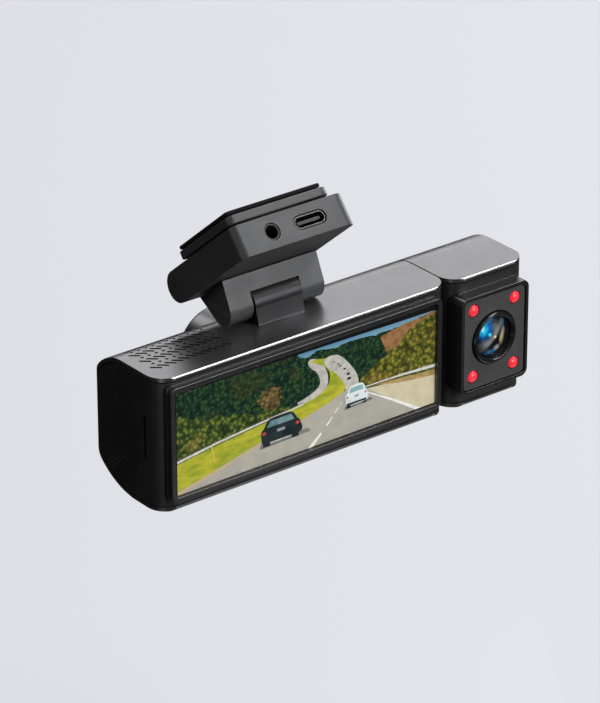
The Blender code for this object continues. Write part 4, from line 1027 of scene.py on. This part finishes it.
def make_lens_block():
    """The raised frame round the cabin lens, a low step round its foot, and the plate inside it."""
    rims = [shrunk(LENS_FRAME, 0, 2.0, 10), shrunk(LENS_FRAME, 0.8, 1.4, 10)]
    block = prism("lens_block", rims, "Y", -3.5 * MM, 3.5 * MM)
    bevel(block, 0.22, 4)
    plan = rounded(POD_START - GAP, POD_END + GAP, -GAP, DEPTH, 5.3 * MM, 24)
    cut(block, prism("pod_solid", plan, "Z", -PAST, 40 * MM))
    ready(block, BODY, "cabin_pod", "bezel", "gloss_black", "cabin_lens_frame")
    foot = shrunk(LENS_FRAME, (1.2, 0.6, -0.25, -0.25), 1.0, 6)
    step = prism("block_step", foot, "Y", -0.25 * MM, FRONT_WALL)
    bevel(step, 0.1, 3)
    hollow = shrunk(LENS_FRAME, (1.5, 1.5, 0.6, 0.6), 1.0, 6)
    cut(step, prism("hollow", hollow, "Y", -1 * MM, FRONT_WALL + 1 * MM))
    ready(step, BODY, "cabin_pod", "bezel", "gloss_black")

    holes = [circle(CABIN_LENS, 6.9 * MM, 64)] + [circle(place, 1.7 * MM, 32) for place in led_places()]
    plate = prism("lens_plate", [shrunk(LENS_FRAME, 1.1, 1.2, 10)] + holes, "Y", -3.2 * MM, -2.3 * MM)
    bevel(plate, 0.07, 2)
    ready(plate, BODY, "cabin_pod", "plate", "lens_plate", "cabin_lens_plate")


def dome(radius, base, rise, steps=14):
    """A shallow dome of a given rise over its base."""
    sphere = (radius * radius + rise * rise) / (2 * rise)
    angle = math.degrees(math.asin(radius / sphere))
    return arc((0, base + rise - sphere), sphere, 90, 90 - angle, steps) + [(0, base)]


def make_core(name, radius, rise, axis, front, place, body, finish):
    """A lens element with painted reflections, whose own coordinates start at its middle so that the
    reflections are painted there.
    """
    core = turned(name, dome(radius * MM, 0.0, rise * MM), axis, (0, 0, 0), False, 72)
    core.data.transform(Matrix.Translation((0, front * MM, 0)))
    core.matrix_world = BODY @ Matrix.Translation(place)
    ready(core, Matrix.Identity(4), body, finish, "lens_glass")


def make_cabin_optics():
    centre = (CABIN_LENS[0], 0, CABIN_LENS[1])
    ring = turned("lens_ring", mm([(6.6, 3.6), (6.6, 1.2), (5.4, 1.2), (5.4, 3.3), (5.75, 3.9), (6.2, 4.0)]),
                  "-Y", centre, True, 96)
    bevel(ring, 0.08, 2)
    ready(ring, BODY, "cabin_pod", "gloss", "gloss_black", "cabin_lens_ring")
    barrel = turned("lens_barrel", mm([(4.0, 1.55), (4.7, 1.55), (4.7, -9.0), (4.2, -9.4), (3.0, -10.6),
                                       (2.2, -10.6), (2.2, -3.0), (3.0, -1.0), (3.6, 0.6)]),
                    "-Y", centre, True, 72)
    ready(barrel, BODY, "cabin_pod", "gloss", "housing_black", "cabin_lens_barrel")
    make_core("lens_core", 5.15, 0.9, "-Y", -2.1, centre, "cabin_pod", "core")
    glass = turned("lens_glass", dome(5.3 * MM, 2.65 * MM, 1.0 * MM), "-Y", centre, False, 72)
    ready(glass, BODY, "cabin_pod", "lens", "lens_glass", "cabin_lens_glass")
    for number, (x, z) in enumerate(led_places(), 1):
        profile = dome(1.45 * MM, 3.1 * MM, 0.75 * MM, 10)[:-1] + mm([(1.45, 1.0), (0, 1.0)])
        led = turned(f"led_{number}", profile, "-Y", (x, 0, z), False, 40)
        ready(led, BODY, "cabin_pod", "led", "led_red", f"ir_led_{number}")


def led_places():
    (x, z), (wide, tall) = CABIN_LENS, LED_OFFSET
    return [(x + sx * wide, z + sz * tall) for sx, sz in ((-1, 1), (1, 1), (1, -1), (-1, -1))]


# ---------------------------------------------------------------- mount

def meet(point, direction, normal, distance):
    """Where a line from a point meets the line at a distance along a normal."""
    along = direction[0] * normal[0] + direction[1] * normal[1]
    start = point[0] * normal[0] + point[1] * normal[1]
    step = (distance - start) / along
    return (point[0] + direction[0] * step, point[1] + direction[1] * step)


def make_bracket():
    tilt = math.radians(40)
    normal = (math.sin(tilt), math.cos(tilt))
    underside = ORIGIN.y * normal[0] + ORIGIN.z * normal[1] + SHOE_BOTTOM - GAP
    front_lean, rear_lean = 24.6, 31.5
    ears = arc(PIN, 3.7 * MM, 180 - front_lean, 270 + rear_lean, 32)
    lean, rear = math.radians(front_lean), math.radians(rear_lean)
    front = meet(ears[0], (math.sin(lean), math.cos(lean)), normal, underside)
    back = meet(ears[-1], (math.cos(rear), math.sin(rear)), normal, underside)
    bracket = prism("bracket_skin", [front] + ears + [back], "X", *BRACKET)
    notch = mm([(5, 30), (30, 30)]) + [(30 * MM, PIN[1] - 0.5 * MM)]
    notch += arc(PIN, 4.55 * MM, -6.3, 180, 40) + [(5 * MM, PIN[1])]
    cut(bracket, prism("notch", notch, "X", *NOTCH))
    bevel(bracket, 0.2, 3)
    cut(bracket, rod("hole", 1.8 * MM, 30.1 * MM, 54.7 * MM, "X", (0, *PIN), 32))
    ready(bracket, BODY, "mount_shoe", "mount", "mount_grey", "hinge_bracket")


def slot_outline(centre, half_x, half_z):
    x, z = centre
    return rounded(x - half_x, x + half_x, z - half_z, z + half_z, half_z - 0.01 * MM, 12)


def make_shoe():
    x0, x1 = SHOE_X
    middle = (SHOE_TOP + SHOE_BOTTOM) / 2
    radius = (SHOE_TOP - SHOE_BOTTOM) / 2
    outline = [(SHOE_FRONT, SHOE_BOTTOM)] + arc((TAIL, middle), radius, -90, 90, 36) + [(SHOE_FRONT, SHOE_TOP)]
    shoe = prism("shoe_skin", outline, "X", x0 - GAP, x1 + GAP)
    plan = rounded(x0, x1, SHOE_FRONT, TAIL + PAST, (2.0 * MM, 3.2 * MM, 0.5 * MM, 0.5 * MM), 12)
    clip(shoe, prism("plan", plan, "Z", SHOE_BOTTOM - 1 * MM, SHOE_TOP + 1 * MM))
    wall = 1.4 * MM
    hollow = rounded(x0 + wall, x1 - wall, SHOE_FRONT + wall, TAIL, 0.8 * MM, 4)
    cut(shoe, prism("hollow", hollow, "Z", SHOE_BOTTOM + wall, SHOE_TOP + 1 * MM))
    bevel(shoe, 0.35, 4)
    port = slot_outline(USB, 4.65 * MM, 1.8 * MM)
    cut(shoe, prism("port", port, "Y", SHOE_FRONT - 1 * MM, SHOE_FRONT + 3 * MM))
    cut(shoe, rod("jack", 2.15 * MM, 8.5 * MM, 12.5 * MM, "-Y", (JACK[0], 0, JACK[1]), 48))
    ready(shoe, SHOE, "mount_shoe", "mount", "mount_grey", "shoe_housing")


def make_base():
    """The adhesive plate with its T-shaped way for the shoe's rail, and the foam pad on it."""
    plate = prism("plate_skin", rounded(*PLATE, (1.8 * MM, 3.0 * MM, 1 * MM, 1 * MM), 10), "Z",
                  -3.2 * MM, -1.1 * MM)
    bevel(plate, 0.3, 4)
    centre = 0.2 * MM
    y0, y1 = PLATE[2:]
    mouth, wide = 7.1 * MM, 9.1 * MM
    cut(plate, box("mouth", centre - mouth, centre + mouth, y0 + 1.6 * MM, y1 + 2 * MM, -5 * MM, -2 * MM))
    cut(plate, box("wide", centre - wide, centre + wide, y0 + 1.61 * MM, y1 + 3 * MM, -2.7 * MM, -1.6 * MM))
    ready(plate, SHOE, "windscreen_base", "mount", "mount_grey", "adhesive_plate")
    pad = prism("pad_skin", rounded(*PAD, 1.2 * MM, 8), "Z", -0.8 * MM, 0.0)
    bevel(pad, 0.15, 2)
    ready(pad, SHOE, "windscreen_base", "foam", "foam_black", "adhesive_pad")


def make_sockets():
    front = SHOE_FRONT + 0.2 * MM
    walls = [slot_outline(USB, 4.35 * MM, 1.5 * MM), slot_outline(USB, 4.1 * MM, 1.25 * MM)]
    shell = prism("usb_shell", walls, "Y", front, front + 6.8 * MM)
    back = slot_outline(USB, 4.3 * MM, 1.45 * MM)
    join(shell, prism("back", back, "Y", front + 6.2 * MM, front + 7.3 * MM))
    bevel(shell, 0.07, 2)
    # The shell's dark metal is painted shade in the port.
    ready(shell, SHOE, "mount_shoe", "dark_metal", "steel", "usb_c_shell")
    x, z = USB
    blade = rounded(x - 3.3 * MM, x + 3.3 * MM, z - 0.35 * MM, z + 0.35 * MM, 0.15 * MM, 3)
    tongue = prism("usb_tongue", blade, "Y", front + 0.6 * MM, front + 6.15 * MM)
    bevel(tongue, 0.08, 2)
    ready(tongue, SHOE, "mount_shoe", "socket", "socket_black", "usb_c_tongue")
    pads = []
    for number in range(12):
        place = x - 2.75 * MM + number * 0.5 * MM
        for side in (-1, 1):
            level = z + side * 0.37 * MM
            pads.append(box("pad", place - 0.12 * MM, place + 0.12 * MM, front + 0.9 * MM, front + 4.5 * MM,
                            level - 0.03 * MM, level + 0.03 * MM))
    contacts = merged("usb_contacts", pads)
    bevel(contacts, 0.01, 1)
    ready(contacts, SHOE, "mount_shoe", "contact", "steel")
    collar = turned("jack_socket", mm([(1.95, 11.2), (2.05, 11.05), (2.05, 7.25), (1.45, 7.25), (1.45, 10.7),
                                       (1.7, 11.2)]), "-Y", (JACK[0], 0, JACK[1]), True, 64)
    ready(collar, SHOE, "mount_shoe", "socket", "socket_black", "av_jack_socket")


# ---------------------------------------------------------------- front camera, buttons and screws

def make_front_camera():
    centre = (FRONT_LENS[0], 0, FRONT_LENS[1])
    end = FRONT_END
    outer = 11 * MM
    profile = arc((outer - 1.5 * MM, end - 1.5 * MM), 1.5 * MM, 90, 0, 10)
    profile += [(outer, 20 * MM), (7.2 * MM, 20 * MM), (7.2 * MM, end - 2.5 * MM), (8.2 * MM, end - 2.5 * MM),
                (8.2 * MM, end - 0.2 * MM), (8.4 * MM, end)]
    housing = turned("front_housing_skin", profile, "Y", centre, True, 120)
    seam = heel()[0][1]
    outline = bottom_edge(-GAP, seam) + top_edge(-GAP)[-2::-1]
    outline = [(-GAP if y == 0.0 else y, z) for y, z in outline]
    cut(housing, prism("bar", outline, "X", 10 * MM, 75 * MM))
    ready(housing, BODY, "camera_body", "cover", "cover_grey", "front_lens_housing")
    steps = [(7.9 * MM, end - 0.35 * MM), (7.9 * MM, end - 2.2 * MM), (5.6 * MM, end - 2.2 * MM)]
    for number in range(5):
        inner = 5.6 * MM + number * 0.28 * MM
        level = end - 1.75 * MM + number * 0.29 * MM
        steps += [(inner, level), (inner + 0.26 * MM, level)]
    trim = turned("front_trim_skin", steps + [(7.0 * MM, end - 0.3 * MM)], "Y", centre, True, 96)
    bevel(trim, 0.04, 2)
    ready(trim, BODY, "camera_body", "gloss", "gloss_black", "front_lens_trim")
    glass = turned("front_glass_skin", dome(5.25 * MM, 34.2 * MM, 1.6 * MM), "Y", centre, False, 96)
    ready(glass, BODY, "camera_body", "lens", "lens_glass", "front_lens_glass")
    make_core("front_core", 4.6, 0.8, "Y", 33.95, centre, "camera_body", "front_core")


def make_buttons():
    for name, x in zip(BUTTON_NAMES, BUTTON_PLACES):
        rings = [[(*point, level * MM) for point in button_outline(x, grow * MM)] for grow, level in CAP_RINGS]
        ready(lofted(f"{name}_cap", rings), BODY, f"{name}_key", "button", "button_black", f"{name}_button")


def make_screws():
    for number, (x, y) in enumerate(SCREW_PLACES, 1):
        profile = mm([(0, 5.5), (0.5, 5.5), (0.7, 4.6), (0.7, 0.5), (1.4, 0.5), (1.4, 0.15), (1.25, 0.05),
                      (0, 0.05)])
        screw = turned(f"screw_{number}", profile, "Z", (x, y, 0), False, 40)
        for wide, deep in mm([(0.85, 0.14), (0.14, 0.85)]):
            cut(screw, box("recess", x - wide, x + wide, y - deep, y + deep, -0.5 * MM, 0.32 * MM))
        ready(screw, BODY, "camera_body", "steel", "steel", f"body_screw_{number}")


# ---------------------------------------------------------------- the rest

# The finish of each CAD slot, for the nodes that stay as they are.
SLOT_FINISHES = {
    "cover_grey": "cover", "housing_black": "housing", "mount_grey": "mount", "gloss_black": "gloss",
    "lens_plate": "plate", "clear_glass": "gloss", "lens_glass": "gloss", "display": "gloss",
    "light_guide": "white", "board_green": "board", "steel": "steel", "heat_sink_metal": "alloy",
    "battery_wrap": "alloy", "led_red": "gloss", "foam_black": "foam", "button_black": "button",
    "socket_black": "socket",
}


def finish_nodes():
    slots = {part["node"]: part["material_slot"] for part in frame["record"]["subparts"]}
    for name, part in frame["nodes"].items():
        part.data.materials.clear()
        part.data.materials.append(MATERIALS[SLOT_FINISHES[slots[name]]])
        rounding = part.modifiers.new("small round", "BEVEL")
        rounding.width = 0.08 * MM
        rounding.segments = 2
        rounding.limit_method = "ANGLE"
        rounding.angle_limit = math.radians(50)


# ---------------------------------------------------------------- stage, camera, light

STUDIO_WHITE = (0.80, 0.815, 0.86, 1)


def make_stage():
    """A pale floor that neither lights the object nor shows in it."""
    shape = bmesh.new()
    bmesh.ops.create_grid(shape, x_segments=2, y_segments=2, size=6.0)
    floor = from_shape("floor", shape)
    floor.location.z = CAD_BOX[0][2] - 120 * MM
    material, tree, shader = new_material("floor_finish")
    feed(tree, shader, {
        "Base Color": (0.22, 0.224, 0.236, 1), "Roughness": 0.9, "Specular IOR Level": 0.1,
        "Emission Color": STUDIO_WHITE, "Emission Strength": 0.62})
    floor.data.materials.append(material)
    floor.visible_diffuse = False
    floor.visible_glossy = False


# The camera's turns in degrees, and the body's corner as the camera sees it: right, ahead and up, in mm.
VIEW = (38.13, 25.91, -0.08)
CORNER_SEEN = (-31.758, 959.449, -37.612)
FOCAL_IN_PIXELS = 4192.0
FRAME_HEIGHT = 703.0


def make_camera():
    yaw, pitch, roll = (math.radians(a) for a in VIEW)
    turn_z = Matrix.Rotation(yaw, 3, "Z")
    turn_x = Matrix.Rotation(pitch, 3, "X")
    turn_y = Matrix.Rotation(roll, 3, "Y")
    rotation = turn_y @ turn_x @ turn_z
    place = -(rotation.transposed() @ (Vector(CORNER_SEEN) * MM)) - ORIGIN
    right, forward, up = rotation
    data = bpy.data.cameras.new("camera")
    data.sensor_width = 36.0
    data.lens = FOCAL_IN_PIXELS * 36.0 / FRAME_HEIGHT
    data.clip_start = 0.05
    data.clip_end = 30.0
    camera = bpy.data.objects.new("camera", data)
    camera.matrix_world = Matrix.Translation(place) @ Matrix((right, up, -forward)).transposed().to_4x4()
    bpy.context.scene.collection.objects.link(camera)
    bpy.context.scene.camera = camera


# name, place, what it points at, width, power in watts, height
MIDDLE = (0.0, 0.0, -0.03)
LIGHTS = [
    ("top_strip", (0.56, -0.27, 0.77), MIDDLE, 1.1, 7.5, 0.2),
    ("front_box", (0.25, -1.00, 0.32), MIDDLE, 0.8, 9.0, 0.5),
    ("right_box", (1.00, 0.25, 0.05), MIDDLE, 0.4, 3.6, 0.6),
    ("back_box", (0.70, 0.90, 0.56), MIDDLE, 0.9, 5.3, 1.0),
    ("back_top", (-0.12, 0.75, 0.75), MIDDLE, 0.35, 2.1, 0.7),
    ("left_fill", (-0.90, 0.20, 0.45), MIDDLE, 0.7, 2.2, 0.6),
    ("low_left", (-0.32, -0.26, -0.13), MIDDLE, 0.14, 0.09, 0.14),
    ("low_front", (0.10, -0.045, -0.165), (0.03, 0.0, -0.055), 0.2, 0.05, 0.1),
]


def area_light(name, place, target, width, power, height):
    data = bpy.data.lights.new(name, "AREA")
    data.shape = "RECTANGLE"
    data.size = width
    data.size_y = height
    data.energy = power
    light = bpy.data.objects.new(name, data)
    light.location = place
    direction = Vector(target) - Vector(place)
    light.rotation_euler = direction.to_track_quat("-Z", "Y").to_euler()
    light.visible_camera = name != "low_front"
    bpy.context.scene.collection.objects.link(light)


def make_light():
    world = bpy.data.worlds.new("world")
    world.use_nodes = True
    feed(world.node_tree, world.node_tree.nodes["Background"], {"Color": STUDIO_WHITE, "Strength": 1.0})
    world.cycles_visibility.diffuse = False
    world.cycles_visibility.glossy = False
    bpy.context.scene.world = world
    bpy.context.scene.view_settings.view_transform = "Standard"
    for light in LIGHTS:
        area_light(*light)


make_materials()
finish_nodes()
make_bar()
make_knuckle()
make_screen()
make_picture()
make_pod()
make_cabin_optics()
make_bracket()
make_shoe()
make_base()
make_sockets()
make_front_camera()
make_buttons()
make_screws()
make_stage()
make_camera()
make_light()
